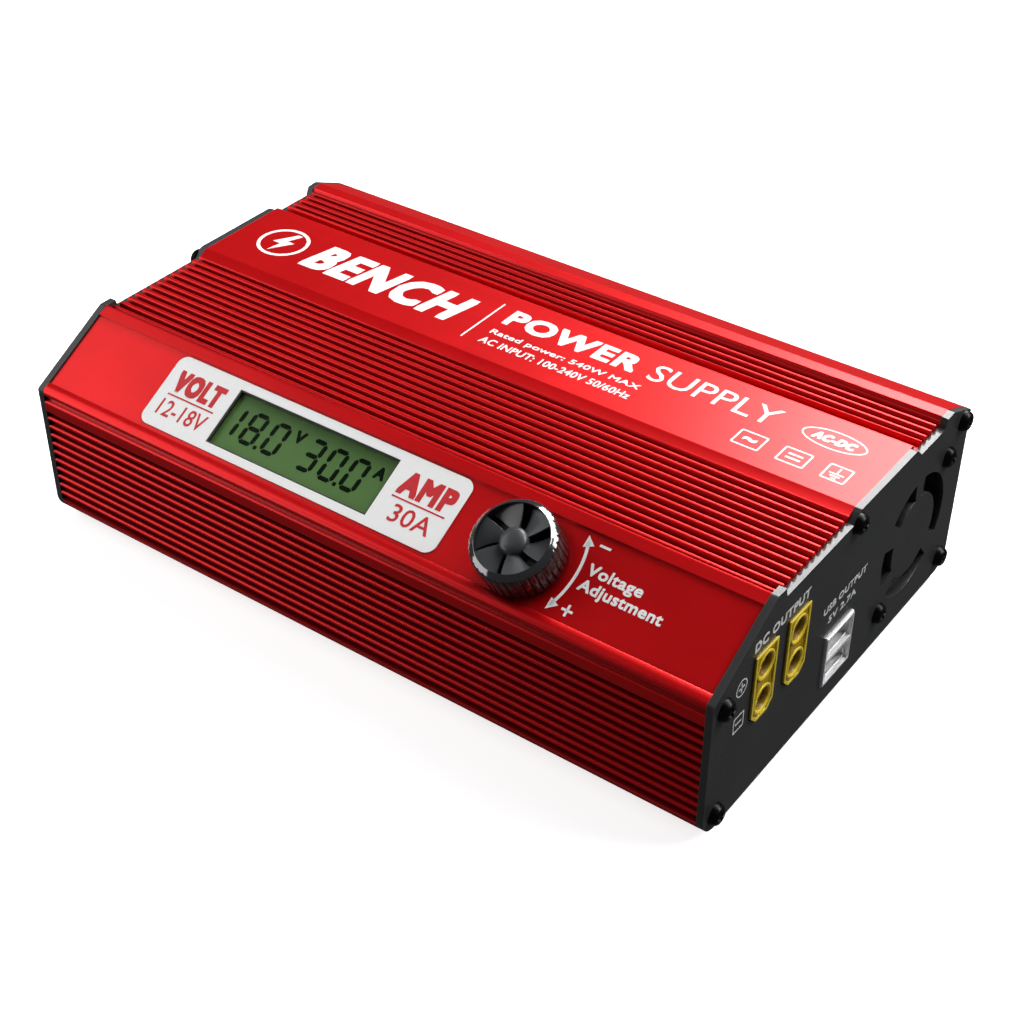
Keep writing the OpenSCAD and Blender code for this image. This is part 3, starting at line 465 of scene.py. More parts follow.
def finish_piece(made, material, slot, body, smooth, bevel=0.0):
    made.data.materials.append(material)
    made.data.polygons.foreach_set("use_smooth", [True] * len(made.data.polygons))
    made.data.set_sharp_from_angle(angle=math.radians(smooth))
    if bevel:
        soften(made, bevel)
    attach(made, body)


def soften(piece, width):
    """Rounds hard edges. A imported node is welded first, because its faces come in unjoined."""
    weld = piece.modifiers.new("weld", "WELD")
    weld.merge_threshold = WELD
    bevel = piece.modifiers.new("edges", "BEVEL")
    bevel.width = width
    bevel.segments = BEVEL_SEGMENTS
    bevel.limit_method = "ANGLE"
    bevel.angle_limit = math.radians(BEVEL_ANGLE)
    bevel.harden_normals = True


def rounded(width, height, radius, shift=(0, 0)):
    """A rectangle's outline with round corners, counter-clockwise."""
    points = []
    for cx, cy, start in ((1, 1, 0), (-1, 1, 90), (-1, -1, 180), (1, -1, 270)):
        for i in range(CORNER_STEPS + 1):
            a = math.radians(start + 90 * i / CORNER_STEPS)
            points.append((shift[0] + cx * (width / 2 - radius) + radius * math.cos(a),
                           shift[1] + cy * (height / 2 - radius) + radius * math.sin(a)))
    return points


def ring_outline(radius, steps=48, centre=(0, 0)):
    return [(centre[0] + radius * math.cos(2 * math.pi * i / steps),
             centre[1] + radius * math.sin(2 * math.pi * i / steps)) for i in range(steps)]


def lettering(shape, text, matrix, size, weight=0.0, slant=0.0):
    """Adds words as thin solid print, fitted to size = (width, height), with its lower left corner at the matrix.

    weight makes the strokes bolder: the words are laid again, moved by that much each way. The letters are set
    wider apart by as much as their strokes grow."""
    curve = bpy.data.curves.new("words", "FONT")
    curve.body = text
    curve.size = 1.0
    curve.shear = slant
    curve.space_character = 1 + 2 * weight / size[1]
    curve.extrude = 0.5
    curve.resolution_u = 3
    words = bpy.data.objects.new("words", curve)
    bpy.context.scene.collection.objects.link(words)
    bpy.context.view_layer.update()
    mesh = bpy.data.meshes.new_from_object(words.evaluated_get(bpy.context.evaluated_depsgraph_get()))
    xs = [v.co.x for v in mesh.vertices]
    ys = [v.co.y for v in mesh.vertices]
    across = (size[0] - 2 * weight) / (max(xs) - min(xs))
    up = (size[1] - 2 * weight) / (max(ys) - min(ys))
    faces = [list(p.vertices) for p in mesh.polygons]
    moves = [(x, y) for x in (-1, 0, 1) for y in (-1, 0, 1)] if weight else [(0, 0)]
    for turn, (x, y) in enumerate(moves):
        left = weight * (1 + x) - min(xs) * across
        low = weight * (1 + y) - min(ys) * up
        top = INK_T + turn * PRINT_STEP
        points = [(v.co.x * across + left, v.co.y * up + low, (v.co.z + 0.5) * top) for v in mesh.vertices]
        shape.add(points, faces, matrix)
    bpy.data.objects.remove(words)
    bpy.data.curves.remove(curve)
    bpy.data.meshes.remove(mesh)
    return shape


# ---- CAD nodes: finish and softened edges ----

SLOT_OF = {part["node"]: part["material_slot"] for part in frame["record"]["subparts"]}
EDGE_WIDTH = {
    "output_end_plate": 0.22, "input_end_plate": 0.22, "rubber_feet": 0.3,
    "front_label": 0.04, "dc_socket_a": 0.3, "dc_socket_b": 0.3, "dc_contacts": 0.12, "usb_shell": 0.12,
    "usb_tongues": 0.15, "usb_contacts": 0.05, "ac_inlet_housing": 0.35, "ac_inlet_pins": 0.3,
    "switch_housing": 0.35, "switch_rocker": 0.35, "fan_frame": 0.4, "transformer_core": 0.4,
    "transformer_winding": 0.4, "choke_core": 1.0, "line_filter_core": 0.8, "choke_winding": 0.35,
    "line_filter_winding": 0.3, "primary_heatsink": 0.2, "secondary_heatsink": 0.2, "power_transistors": 0.3,
    "bridge_rectifier": 0.3, "inrush_relay": 0.4, "bulk_capacitors": 0.25, "output_capacitors": 0.2,
}
for name, node in frame["nodes"].items():
    node.data.materials.clear()
    node.data.materials.append(MATERIALS[SLOT_OF[name]])
    if name in EDGE_WIDTH:
        soften(node, EDGE_WIDTH[name] * MM)


# ---- Case extrusions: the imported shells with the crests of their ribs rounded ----


CREST_LENGTH = 150 * MM
CREST_LOW, CREST_HIGH = math.radians(66), math.radians(86)
CREST_STEPS = 4


def is_crest(edge):
    """A long convex edge between the top of a rib and the side of a groove."""
    if not edge.is_manifold or not edge.is_convex or edge.calc_length() < CREST_LENGTH:
        return False
    return CREST_LOW < edge.calc_face_angle(0) < CREST_HIGH


def rounded_ribs(name, node, width):
    """Replaces a packed shell with a copy whose crests are rounded and whose broad faces stay flat."""
    mesh = frame["nodes"][node].data.copy()
    mesh.name = name
    work = bmesh.new()
    work.from_mesh(mesh)
    bmesh.ops.remove_doubles(work, verts=work.verts, dist=WELD)
    bmesh.ops.dissolve_limit(work, angle_limit=math.radians(0.6), verts=work.verts, edges=work.edges)
    bmesh.ops.bevel(work, geom=[e for e in work.edges if is_crest(e)], offset=width, offset_type="OFFSET",
                    segments=CREST_STEPS, profile=0.5, affect="EDGES", clamp_overlap=False)
    for layer in list(work.loops.layers.float_vector.values()):
        work.loops.layers.float_vector.remove(layer)
    work.to_mesh(mesh)
    work.free()
    made = bpy.data.objects.new(name, mesh)
    bpy.context.scene.collection.objects.link(made)
    mesh.materials.clear()
    finish_piece(made, MATERIALS[SLOT_OF[node]], SLOT_OF[node], CASE, 28)
    mesh.polygons.foreach_set("use_smooth", [face.area < BROAD_FACE for face in mesh.polygons])
    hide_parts(node)


RIB_ROUND = 0.46 * MM
BROAD_FACE = 600 * MM ** 2
rounded_ribs("ribbed_cover", "top_cover", RIB_ROUND)
rounded_ribs("ribbed_tray", "lower_shell", RIB_ROUND)

# ---- Screws: domed heads with a cross recess ----

CROSS_WIDTH, CROSS_LENGTH, CROSS_DEPTH = 0.14, 0.55, 0.5
DOME_FALL, DOME_EDGE = 0.22, 0.78

def screw_heads(name, node, places, radius, height):
    """Replaces a node of screws with domed heads, each on its shank. places are the seats of the heads."""
    shape = Shape()
    rings, steps = 22, 64
    shank_low, shank_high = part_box(node)
    depth = (shank_high.x - shank_low.x) - height
    for place in places:
        points, faces = [], []
        for ring in range(rings + 1):
            r = radius * ring / rings
            for step in range(steps):
                a = 2 * math.pi * step / steps
                x, y = r * math.cos(a), r * math.sin(a)
                dome = height * (1 - DOME_FALL * (r / radius) ** 2 - DOME_EDGE * (r / radius) ** 9)
                slot_edge = min(abs(x), abs(y)) / (CROSS_WIDTH * radius)
                reach = max(abs(x), abs(y)) / (CROSS_LENGTH * radius)
                sunk = max(0.0, 1 - slot_edge ** 6) * max(0.0, 1 - reach ** 4)
                points.append((x, y, dome - CROSS_DEPTH * height * sunk))
        for ring in range(rings):
            for step in range(steps):
                after = (step + 1) % steps
                faces.append([ring * steps + step, (ring + 1) * steps + step, (ring + 1) * steps + after,
                              ring * steps + after])
        shape.add(points, faces, place)
        shape.lathe([(radius, 0), (radius * 0.5, 0), (radius * 0.48, -depth), (0, -depth)], place, steps)
    return shape.piece(name, MATERIALS[SLOT_OF[node]], SLOT_OF[node], smooth=50, stands_for=(node,))


def islands(node):
    """Centres of the separate solids in a node, from its loose parts."""
    mesh = bmesh.new()
    mesh.from_mesh(frame["nodes"][node].data)
    bmesh.ops.remove_doubles(mesh, verts=mesh.verts, dist=WELD)
    left, centres = set(mesh.verts), []
    while left:
        group, edge = set(), [left.pop()]
        while edge:
            vert = edge.pop()
            group.add(vert)
            for other in (e.other_vert(vert) for e in vert.link_edges):
                if other in left:
                    left.discard(other)
                    edge.append(other)
        low = [min(v.co[i] for v in group) for i in range(3)]
        high = [max(v.co[i] for v in group) for i in range(3)]
        centres.append([(a + b) / 2 for a, b in zip(low, high)])
    mesh.free()
    return sorted(centres)


def outlet_seats(node):
    return [on_outlet_end(y - MID_Y, z - FOOT) for x, y, z in islands(node)]


def mains_seats(node, out=0.0):
    """Seats on the mains end, where local X runs along -Y."""
    return [on_mains_end(y - MID_Y, z - FOOT, out) for x, y, z in islands(node)]


for name, node, places, radius, height in (
        ("outlet_end_screws", "output_plate_screws", outlet_seats("output_plate_screws"), 3.0, 2.2),
        ("fan_fixing_screws", "fan_screws", outlet_seats("fan_screws"), 3.0, 2.0),
        ("mains_end_screws", "input_plate_screws", mains_seats("input_plate_screws"), 3.0, 2.2),
        ("inlet_fixing_screws", "ac_inlet_screws", mains_seats("ac_inlet_screws", 2.0 * MM), 2.8, 1.2)):
    screw_heads(name, node, places, radius * MM, height * MM)

# ---- Knob: fluted skirt, polished notched rim, six broad turbine blades and a domed hub ----

KNOB_PLACE = frame_matrix(KNOB_AT, Vector((1, 0, 0)), FACE_UP)
CUP_R = 9.4 * MM
HUB_R = 3.8 * MM
FLUTES = 36
TURNS = FLUTES * 12
FLUTE_DEPTH = 0.4 * MM
FLUTE_TOP = 9.8 * MM
FLUTE_FADE = 1.0 * MM
SMOOTH_R = 9.9 * MM
BLADES = 6
BLADE_T = 0.8 * MM
BLADE_Z, BLADE_TILT, BLADE_CAMBER = 8.9, 0.5, 0.25
BLADE_SWEEP, BLADE_HALF, BLADE_FLARE = 10, 21, 4


def knob_radius(r, z, a):
    """Flutes up the skirt, which run out as fine notches in the rim's outer edge."""
    if r < SMOOTH_R:
        return r
    flute = max(0.0, math.cos(FLUTES * a)) ** 3
    fade = min(1.0, max(0.0, (FLUTE_TOP - z) / FLUTE_FADE))
    return r - FLUTE_DEPTH * flute * fade


skirt = [(0, 4.0), (7.4, 4.0), (7.4, 0.7), (10.5, 0.62), (10.95, 0.7), (11.17, 1.0), (11.2, 1.4), (11.2, 8.9),
         (11.16, 9.2), (11.05, 9.36), (10.7, 9.6), (9.9, 10.3), (9.7, 10.5), (9.6, 10.5), (9.5, 10.4), (9.42, 9.9),
         (9.4, 6.8), (9.2, 6.5), (0, 6.5)]
rim = [(11.08, 9.36), (10.95, 9.54), (10.7, 9.8), (10.35, 10.1), (10.0, 10.36), (9.8, 10.5), (9.68, 10.62),
       (9.6, 10.66), (9.52, 10.62), (9.47, 10.4), (9.6, 10.2), (10.8, 9.2), (11.08, 9.36)]
hub = [(0, 6.4), (3.9, 6.4), (3.8, 6.7), (3.74, 8.6), (3.6, 9.3), (3.25, 9.85), (2.7, 10.2), (1.9, 10.45),
       (1.0, 10.57), (0, 10.6)]
Shape().lathe([(r * MM, z * MM) for r, z in skirt], KNOB_PLACE, TURNS, knob_radius).piece(
    "turbine_knob", MATERIALS["knob_black"], "knob_black", "knob_body", 40, ("knob",))
Shape().lathe([(r * MM, z * MM) for r, z in rim], KNOB_PLACE, TURNS, knob_radius).piece(
    "turbine_rim", POLISHED_BLACK, "knob_black", "knob_body", 40)


def petal(out, across):
    """One blade of the knob's face, pointing along local X: it twists round a little and tilts across its width."""
    r = HUB_R - 0.4 * MM + (CUP_R - HUB_R + 0.5 * MM) * out
    a = math.radians(BLADE_SWEEP * out + (BLADE_HALF + BLADE_FLARE * out) * across)
    z = BLADE_Z - across * BLADE_TILT * (1 + out) - BLADE_CAMBER * across ** 2 + BLADE_TILT * out
    return r * math.cos(a), r * math.sin(a), z * MM


blades = Shape().lathe([(r * MM, z * MM) for r, z in hub], KNOB_PLACE)
for blade in range(BLADES):
    blades.plate(petal, BLADE_T, KNOB_PLACE @ Matrix.Rotation(2 * math.pi * blade / BLADES, 4, "Z"))
blades.piece("turbine_blades", BLADE_GREY, "knob_black", "knob_body", 40, bevel=0.12 * MM)

# ---- Fan rotor: a cup with curved blades ----

ROTOR_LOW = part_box("fan_rotor")[0]
SPIN_AT = Vector(JOINTS["fan_spin"]["pos_m"])
AXLE = frame_matrix(Vector((ROTOR_LOW.x, SPIN_AT.y, SPIN_AT.z)), Vector((0, 1, 0)), Vector((0, 0, 1)))
FAN_BLADES = 7
CUP_WALL_R = 10.5


def fan_blade(out, across):
    """One blade of the fan, with its chord leaning along the axle and a little camber."""
    r = CUP_WALL_R - 0.3 + 8.0 * out
    a = math.radians(14 * out + (24 - 3 * out) * across)
    z = 3.9 + 2.7 * across + 0.4 * (1 - across ** 2)
    return r * math.cos(a) * MM, r * math.sin(a) * MM, z * MM


cup = [(1.0, 5.95), (1.0, 7.0), (10.0, 7.0), (10.35, 6.86), (CUP_WALL_R, 6.5), (CUP_WALL_R, 0), (9.5, 0), (9.5, 5.95),
       (1.0, 5.95)]
rotor = Shape().lathe([(r * MM, z * MM) for r, z in cup], AXLE, 96)
for blade in range(FAN_BLADES):
    rotor.plate(fan_blade, BLADE_T, AXLE @ Matrix.Rotation(2 * math.pi * blade / FAN_BLADES, 4, "Z"))
rotor.piece("curved_rotor", MATERIALS["fan_plastic"], "fan_plastic", "rotor_body", 40, ("fan_rotor",), 0.12 * MM)

# ---- Mains rocker: marks for on and off ----

ROCKER_AT = Vector(JOINTS["rocker_tilt"]["pos_m"])
ROCKER_LEAN = Matrix.Rotation(-math.radians(JOINTS["rocker_tilt"]["range_deg"][0]) / 2, 3, "Y")
ROCKER_SLANT = 1.3 / 8
ROCKER_OUT = 1.304 * MM


def on_rocker(up):
    """On the rocker's two-sided face, up metres from its pivot. Local X runs along -Y and local Z points out."""
    out = ROCKER_OUT + abs(up) * ROCKER_SLANT
    rise = Vector((-math.copysign(ROCKER_SLANT, up), 0, 1)).normalized()
    return frame_matrix(ROCKER_AT + ROCKER_LEAN @ Vector((-out, 0, up)), Vector((0, -1, 0)), ROCKER_LEAN @ rise)


MARK_UP = 4.6 * MM
marks = Shape().prism(rounded(0.7 * MM, 3.2 * MM, 0.1 * MM), 0, INK_T, on_rocker(MARK_UP))
marks.frame(ring_outline(1.6 * MM), ring_outline(1.0 * MM), 0, INK_T, on_rocker(-MARK_UP))
marks.piece("rocker_marks", INK_WHITE, "rocker_black", "rocker_body", smooth=20)

# ---- Display: dark seven-segment figures behind the window ----

STROKE = 1.3 * MM
BAR_GAP = 0.14 * MM
LCD_SLANT = 0.06
#     a
#   f   b
#     g
#   e   c
#     d
SEGMENTS = {"0": "abcdef", "1": "bc", "3": "abgcd", "8": "abcdefg"}


def segment(shape, matrix, start, end):
    """One bar with pointed ends, from start to end."""
    run = Vector(end) - Vector(start)
    along = run.normalized()
    side = Vector((-along.y, along.x)) * STROKE / 2
    gap = along * BAR_GAP
    a, b = Vector(start) + gap, Vector(end) - gap
    tip = along * STROKE / 2
    outline = [a, a + tip - side, b - tip - side, b, b - tip + side, a + tip + side]
    outline = [(p.x + LCD_SLANT * p.y, p.y) for p in outline]
    shape.prism(outline, 0, INK_T, matrix)


def figure(shape, text, matrix, width, height):
    """A seven-segment figure with its lower left corner at the matrix."""
    left, right, low, high = STROKE / 2, width - STROKE / 2, STROKE / 2, height - STROKE / 2
    middle = height / 2
    ends = {
        "a": ((left, high), (right, high)), "g": ((left, middle), (right, middle)), "d": ((left, low), (right, low)),
        "f": ((left, middle), (left, high)), "b": ((right, middle), (right, high)),
        "e": ((left, low), (left, middle)), "c": ((right, low), (right, middle)),
    }
    for bar in SEGMENTS[text]:
        segment(shape, matrix, *ends[bar])


CELL_FACE = -1.75 * MM + PANEL_DROP
WINDOW_X = 58.3 * MM
DIGIT = (5.5 * MM, 10.0 * MM)
LOW = -3.2 * MM
digits = Shape()
for text, centre in (("1", 2.2), ("8", 9.6), ("0", 17.3), ("3", 29.6), ("0", 36.9), ("0", 44.2)):
    figure(digits, text, on_face(WINDOW_X + centre * MM - DIGIT[0] / 2, LOW, CELL_FACE), *DIGIT)
for centre in (13.4, 40.6):
    digits.prism(rounded(1.1 * MM, 1.1 * MM, 0.2 * MM), 0, INK_T,
                 on_face(WINDOW_X + centre * MM, LOW + 0.6 * MM, CELL_FACE))
for text, centre in (("V", 23.7), ("A", 50.6)):
    lettering(digits, text, on_face(WINDOW_X + (centre - 1.6) * MM, LOW + 6.4 * MM, CELL_FACE),
              (3.3 * MM, 3.6 * MM), 0.2 * MM)
digits.piece("lcd_figures", INK_BLACK, "display_green", smooth=20)

GASKET_DEPTH = 0.55 * MM
gasket_outer, gasket_inner = rounded(54.3 * MM, 16.9 * MM, 0.3 * MM), rounded(53.7 * MM, 16.3 * MM, 0.2 * MM)
gasket = Shape().frame(gasket_outer, gasket_inner, -GASKET_DEPTH, 0.0, on_face(WINDOW_X + 27.25 * MM, 1.52 * MM))
gasket.piece("window_gasket", MATERIALS["black_plastic"], "black_plastic", smooth=20)

# ---- Printing on the instrument face ----

LABEL_FACE = 0.275 * MM
label_print = Shape()
for text, x, width, low, height, weight in (
        ("VOLT", 38.4, 16.8, 1.8, 6.8, 0.46), ("12-18V", 38.6, 16.4, -5.73, 5.0, 0.05),
        ("AMP", 116.4, 16.8, 1.8, 6.8, 0.46), ("30A", 118.6, 12.6, -5.73, 5.0, 0.05)):
    lettering(label_print, text, on_face(x * MM, low * MM, LABEL_FACE), (width * MM, height * MM), weight * MM)
for x in (38.6, 116.2):
    label_print.prism(rounded(16.6 * MM, 0.45 * MM, 0.1 * MM), 0, INK_T,
                      on_face((x + 8.3) * MM, 0.75 * MM, LABEL_FACE))
label_print.piece("label_lettering", INK_RED, "label_white", smooth=20)

ARC_POINTS = 25
ARC_SHARE = 0.86
ARC_HALF = 0.4
HEAD_LONG, HEAD_HALF = 3.0, 1.45
face_print = Shape()
chord, rise = 10.55, 2.4
bow = (chord ** 2 + rise ** 2) / (2 * rise)
reach = math.asin(chord / bow)
outline = []
for radius, turns in ((bow + ARC_HALF, range(ARC_POINTS)), (bow - ARC_HALF, reversed(range(ARC_POINTS)))):
    for i in turns:
        a = -reach * ARC_SHARE + 2 * reach * ARC_SHARE * i / (ARC_POINTS - 1)
        outline.append(((radius * math.cos(a) - bow) * MM, radius * math.sin(a) * MM))
ARROW = on_face(171.4 * MM, 1.42 * MM, PRINT_GAP)
face_print.prism(outline, 0, INK_T, ARROW)
for end in (1, -1):
    a = end * reach
    tip = Vector((bow * math.cos(a) - bow, bow * math.sin(a)))
    back = Vector((math.sin(a), -math.cos(a))) * end * HEAD_LONG
    side = Vector((math.cos(a), math.sin(a))) * HEAD_HALF
    head = [tip, tip + back + side, tip + back - side]
    face_print.prism([(p.x * MM, p.y * MM) for p in (head if end > 0 else head[::-1])], 0, INK_T, ARROW)
for width, height, up in ((3.1, 0.65, 10.7), (3.1, 0.65, -7.3), (0.65, 3.1, -7.3)):
    face_print.prism(rounded(width * MM, height * MM, 0.1 * MM), 0, INK_T, on_face(174.3 * MM, up * MM, PRINT_GAP))
lettering(face_print, "Voltage", on_face(173.3 * MM, 1.8 * MM, PRINT_GAP), (15.4 * MM, 4.1 * MM), 0.12 * MM)
lettering(face_print, "Adjustment", on_face(173.3 * MM, -2.5 * MM, PRINT_GAP), (23.2 * MM, 4.1 * MM), 0.12 * MM)
face_print.piece("panel_lettering", INK_WHITE, "case_red", smooth=20)

# ---- Printing on the band of the cover ----

band_print = Shape()
band_print.frame(ring_outline(8.0 * MM, 64), ring_outline(6.9 * MM, 64), 0, INK_T, on_band(18.0, 18.1))
bolt = [(0.9, 5.9), (-3.3, -0.9), (-0.5, -0.9), (-1.5, -6.0), (3.3, 1.2), (0.5, 1.2), (2.6, 5.9)]
band_print.prism([(x * MM, y * MM) for x, y in bolt], 0, INK_T, on_band(18.0, 18.1))
lettering(band_print, "BENCH", on_band(29.5, 11.0), (56.4 * MM, 14.4 * MM), 0.75 * MM, 0.25)
band_print.prism(rounded(0.5 * MM, 20.7 * MM, 0.1 * MM), 0, INK_T, on_band(92.2, 17.95))
lettering(band_print, "POWER", on_band(97.1, 19.5), (43.1 * MM, 8.1 * MM), 0.42 * MM)
lettering(band_print, "SUPPLY", on_band(144.4, 19.5), (38.4 * MM, 8.1 * MM))
lettering(band_print, "Rated power: 540W MAX", on_band(97.4, 12.9), (48.6 * MM, 3.0 * MM), 0.06 * MM)
lettering(band_print, "AC INPUT: 100-240V 50/60Hz", on_band(97.4, 8.2), (48.6 * MM, 3.0 * MM), 0.06 * MM)
OVAL = on_band(199.0, 23.5)
band_print.frame([(x * 9.2 * MM, y * 4.05 * MM) for x, y in ring_outline(1.0, 64)],
                 [(x * 8.7 * MM, y * 3.55 * MM) for x, y in ring_outline(1.0, 64)], 0, INK_T, OVAL)
lettering(band_print, "AC-DC", OVAL @ Matrix.Translation((-6.1 * MM, -1.7 * MM, 0)), (12.2 * MM, 3.4 * MM),
          0.25 * MM, 0.2)
for x, width in ((181.4, 8.0), (194.2, 8.0), (206.2, 6.8)):
    band_print.frame(rounded(width * MM, 6.8 * MM, 0.6 * MM), rounded((width - 1) * MM, 5.8 * MM, 0.4 * MM), 0, INK_T,
                     on_band(x, 11.2))
lettering(band_print, "~", on_band(179.4, 10.4), (4.0 * MM, 1.7 * MM), 0.15 * MM)
for up in (10.3, 12.1):
    band_print.prism(rounded(4.2 * MM, 0.7 * MM, 0.1 * MM), 0, INK_T, on_band(194.2, up))
for low, width in ((10.9, 4.2), (9.9, 2.8), (8.9, 1.4)):
    band_print.prism(rounded(width * MM, 0.5 * MM, 0.1 * MM), 0, INK_T, on_band(206.2, low))
band_print.prism(rounded(0.5 * MM, 2.6 * MM, 0.1 * MM), 0, INK_T, on_band(206.2, 12.3))
band_print.piece("band_lettering", INK_WHITE, "case_red", smooth=20)

# ---- Outlet sockets: a raised border and a raised rim round each well ----

SOCKET_MID = [(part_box(node)[0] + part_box(node)[1]) / 2 for node in ("dc_socket_a", "dc_socket_b")]
SOCKET_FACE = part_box("dc_socket_a")[1].x
CONTACT_PITCH = 10.6 * MM


def socket_outline(inset):
    """The keyed outline: two square corners above and two cut corners below."""
    y, z = 5.1 * MM - inset, 10.65 * MM - inset
    cut = 2.4 * MM - inset * 0.4
    return [(-y, z), (-y, cut - z), (cut - y, -z), (y - cut, -z), (y, cut - z), (y, z)]


trims = Shape()
for middle in SOCKET_MID:
    seat = frame_matrix(Vector((SOCKET_FACE, middle.y, middle.z)), Vector((0, 1, 0)), Vector((0, 0, 1)))
    trims.frame(socket_outline(0.0), socket_outline(0.75 * MM), -0.05 * MM, 0.4 * MM, seat)
    for side in (-0.5, 0.5):
        well = seat @ Matrix.Translation((0, side * CONTACT_PITCH, 0))
        trims.lathe([(r * MM, z * MM) for r, z in (
            (4.15, -0.05), (4.1, 0.28), (3.95, 0.4), (3.6, 0.4), (3.3, 0.25), (3.06, -0.05), (4.15, -0.05))],
                    well, 48)
# The trims wear the lit copy of the sockets' yellow: painted light.
trims.piece("socket_trims", SOCKET_RIM_LIT, "socket_yellow", smooth=40, bevel=0.08 * MM)

# ---- USB block: flared lips round both ports ----

USB_MID = (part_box("usb_shell")[0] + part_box("usb_shell")[1]) / 2
USB_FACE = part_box("usb_shell")[1].x
USB_PITCH = 7.8 * MM
lips = Shape()
for side in (-0.5, 0.5):
    port = Vector((USB_FACE, USB_MID.y, USB_MID.z + side * USB_PITCH))
    seat = frame_matrix(port, Vector((0, 1, 0)), Vector((0, 0, 1)))
    outer, inner = rounded(14.2 * MM, 7.9 * MM, 0.5 * MM), rounded(13.0 * MM, 6.7 * MM, 0.4 * MM)
    lips.frame(outer, inner, -0.1 * MM, 0.25 * MM, seat)
    outer, inner = rounded(12.9 * MM, 6.6 * MM, 0.4 * MM), rounded(12.1 * MM, 5.8 * MM, 0.4 * MM)
    lips.frame(outer, inner, -1.2 * MM, -0.9 * MM, seat)
lips.piece("usb_lips", MATERIALS["usb_metal"], "usb_metal", smooth=30, bevel=0.08 * MM)

# ---- Printing on the outlet end ----

end_print = Shape()


def end_mm(y, z):
    return on_outlet_end(y * MM, z * MM, PRINT_GAP)


lettering(end_print, "DC OUTPUT", end_mm(-47.8, 46.3), (26.0 * MM, 2.9 * MM), 0.13 * MM)
lettering(end_print, "USB OUTPUT", end_mm(-12.4, 32.9), (22.6 * MM, 2.3 * MM), 0.08 * MM)
lettering(end_print, "5V 2.7A", end_mm(-9.2, 28.6), (14.6 * MM, 2.3 * MM), 0.08 * MM)
SIGN_Y, PLUS_Z, MINUS_Z = -52.6, 39.6, 28.8
plus, minus = (SIGN_Y * MM, PLUS_Z * MM), (SIGN_Y * MM, MINUS_Z * MM)
end_print.frame(ring_outline(2.5 * MM, 48, plus), ring_outline(2.15 * MM, 48, plus), 0, INK_T, end_mm(0, 0))
end_print.frame(rounded(4.8 * MM, 4.8 * MM, 0.3 * MM, minus), rounded(4.1 * MM, 4.1 * MM, 0.2 * MM, minus), 0, INK_T,
                end_mm(0, 0))
for z, width, height in ((PLUS_Z, 2.8, 0.5), (PLUS_Z, 0.5, 2.8), (MINUS_Z, 2.8, 0.5)):
    end_print.prism(rounded(width * MM, height * MM, 0.1 * MM), 0, INK_T, end_mm(SIGN_Y, z))
end_print.piece("outlet_lettering", INK_WHITE, "plate_black", smooth=20)

# ---- Studio: floor sweep, lights and camera ----


def softbox(name, at, size, power):
    """A rectangular light that faces the object."""
    light = bpy.data.lights.new(name, "AREA")
    light.shape = "RECTANGLE"
    light.size, light.size_y = size
    light.energy = power
    lamp = bpy.data.objects.new(name, light)
    lamp.location = at
    lamp.rotation_euler = (MIDDLE - Vector(at)).to_track_quat("-Z", "Y").to_euler()
    bpy.context.scene.collection.objects.link(lamp)


# The floor turns up into a pale wall far behind the object, on every side: (radius, height) of its profile.
SWEEP = [(0.0, 0.0), (5.0, 0.0), (5.6, 0.12), (5.95, 0.5), (6.0, 1.1), (6.0, 5.0)]
SWEEP_TURNS = 48
rings = [[(r * math.cos(2 * math.pi * t / SWEEP_TURNS), r * math.sin(2 * math.pi * t / SWEEP_TURNS), z)
          for t in range(SWEEP_TURNS)] for r, z in SWEEP[1:]]
corners = [(0, 0, 0)] + [point for ring in rings for point in ring]
quads = [(0, 1 + t, 1 + (t + 1) % SWEEP_TURNS) for t in range(SWEEP_TURNS)]
for ring in range(len(rings) - 1):
    low, high = 1 + ring * SWEEP_TURNS, 1 + (ring + 1) * SWEEP_TURNS
    for t in range(SWEEP_TURNS):
        u = (t + 1) % SWEEP_TURNS
        quads.append((low + t, high + t, high + u, low + u))
floor_mesh = bpy.data.meshes.new("floor")
floor_mesh.from_pydata(corners, [], quads)
floor_mesh.polygons.foreach_set("use_smooth", [True] * len(quads))
floor = bpy.data.objects.new("floor", floor_mesh)
bpy.context.scene.collection.objects.link(floor)
paper = Nodes("paper")
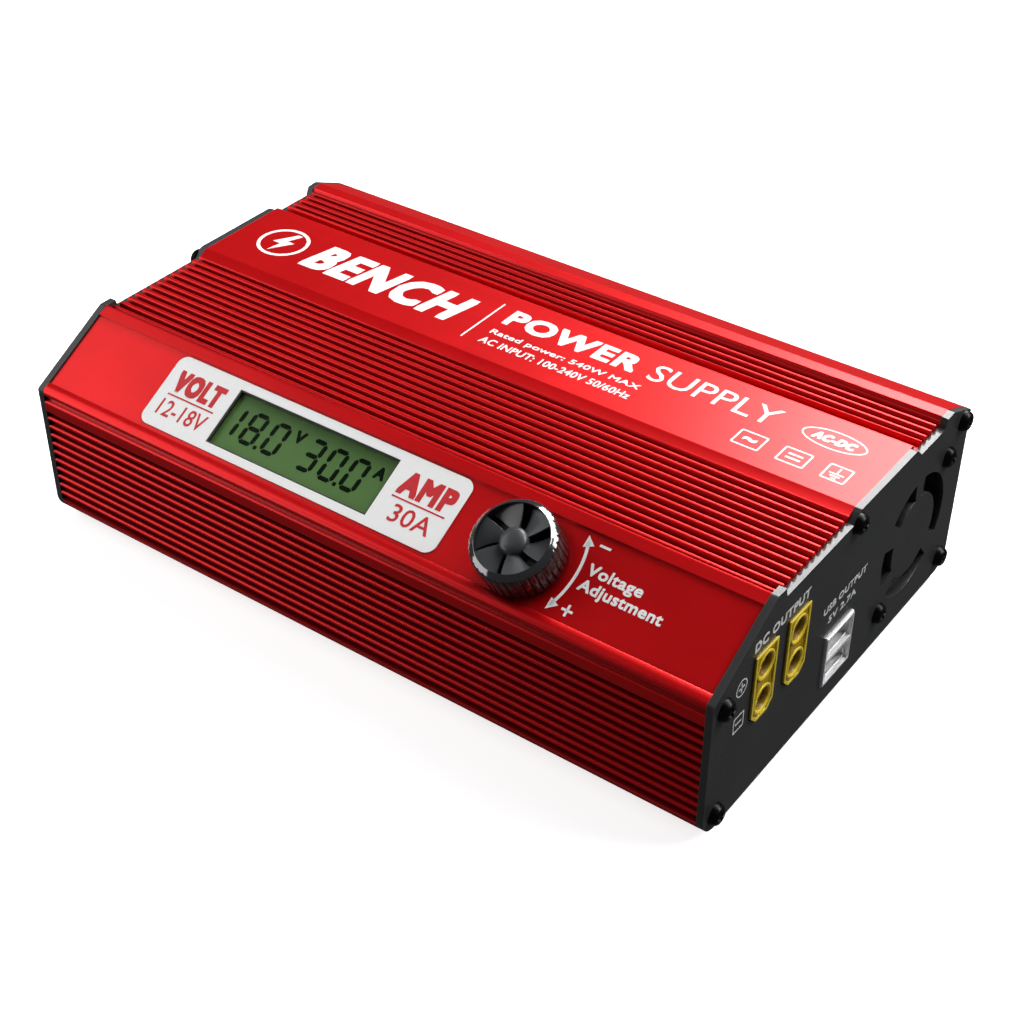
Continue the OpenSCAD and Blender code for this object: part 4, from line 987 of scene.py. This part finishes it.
paper.surface(paper.mix(paper.between(paper.noise(8), 0.0, 1.0), (0.84, 0.84, 0.845), (0.86, 0.86, 0.86)), 0.9,
              Emission_Color=(1.0, 1.0, 1.0, 1.0), Emission_Strength=0.75, Specular_IOR_Level=0.1)
floor_mesh.materials.append(paper.material)
floor.visible_diffuse = False
floor.visible_glossy = False

world = bpy.data.worlds.new("studio")
world.use_nodes = True
world.node_tree.nodes["Background"].inputs["Color"].default_value = (0.80, 0.82, 0.85, 1)
world.node_tree.nodes["Background"].inputs["Strength"].default_value = 0.10
bpy.context.scene.world = world

AZIMUTH, ELEVATION, ROLL = (math.radians(a) for a in (35.965, 37.201, 0.161))
LENS = 64.71
SENSOR = 36
RIGHT, ABOVE, BACK = 4.557 * MM, 7.387 * MM, 525.45 * MM
flat = math.cos(ELEVATION)
back = Vector((math.sin(AZIMUTH) * flat, -math.cos(AZIMUTH) * flat, math.sin(ELEVATION)))
level = Vector((0, 0, 1)).cross(back).normalized()
upward = back.cross(level)
right = level * math.cos(ROLL) + upward * math.sin(ROLL)
above = upward * math.cos(ROLL) - level * math.sin(ROLL)
camera_data = bpy.data.cameras.new("camera")
camera_data.sensor_width = SENSOR
camera_data.lens = LENS
camera_data.clip_start = 0.01
camera = bpy.data.objects.new("camera", camera_data)
place = Matrix((right, above, back)).transposed().to_4x4()
place.translation = right * RIGHT + above * ABOVE + back * BACK + Vector((0, MID_Y, FOOT))
camera.matrix_world = place
bpy.context.scene.collection.objects.link(camera)
bpy.context.scene.camera = camera

MIDDLE = Vector((0, 0, 0.04))
for name, at, size, power in (
        ("band_light", (-0.08, 0.80, 0.70), (0.42, 0.38), 11.5),
        ("rim_light", (0.36, 0.50, 0.78), (0.50, 0.22), 3.0),
        ("key", (-0.50, -0.28, 0.42), (0.45, 0.45), 1.3),
        ("wall_light", (-0.50, -0.50, 0.09), (0.45, 0.45), 1.4),
        ("overhead", (0.10, 0.80, 1.44), (1.2, 1.2), 7.0),
        ("end_light", (0.66, 0.42, 0.64), (0.45, 0.45), 4.5)):
    softbox(name, at, size, power)

bpy.context.scene.view_settings.view_transform = "Standard"
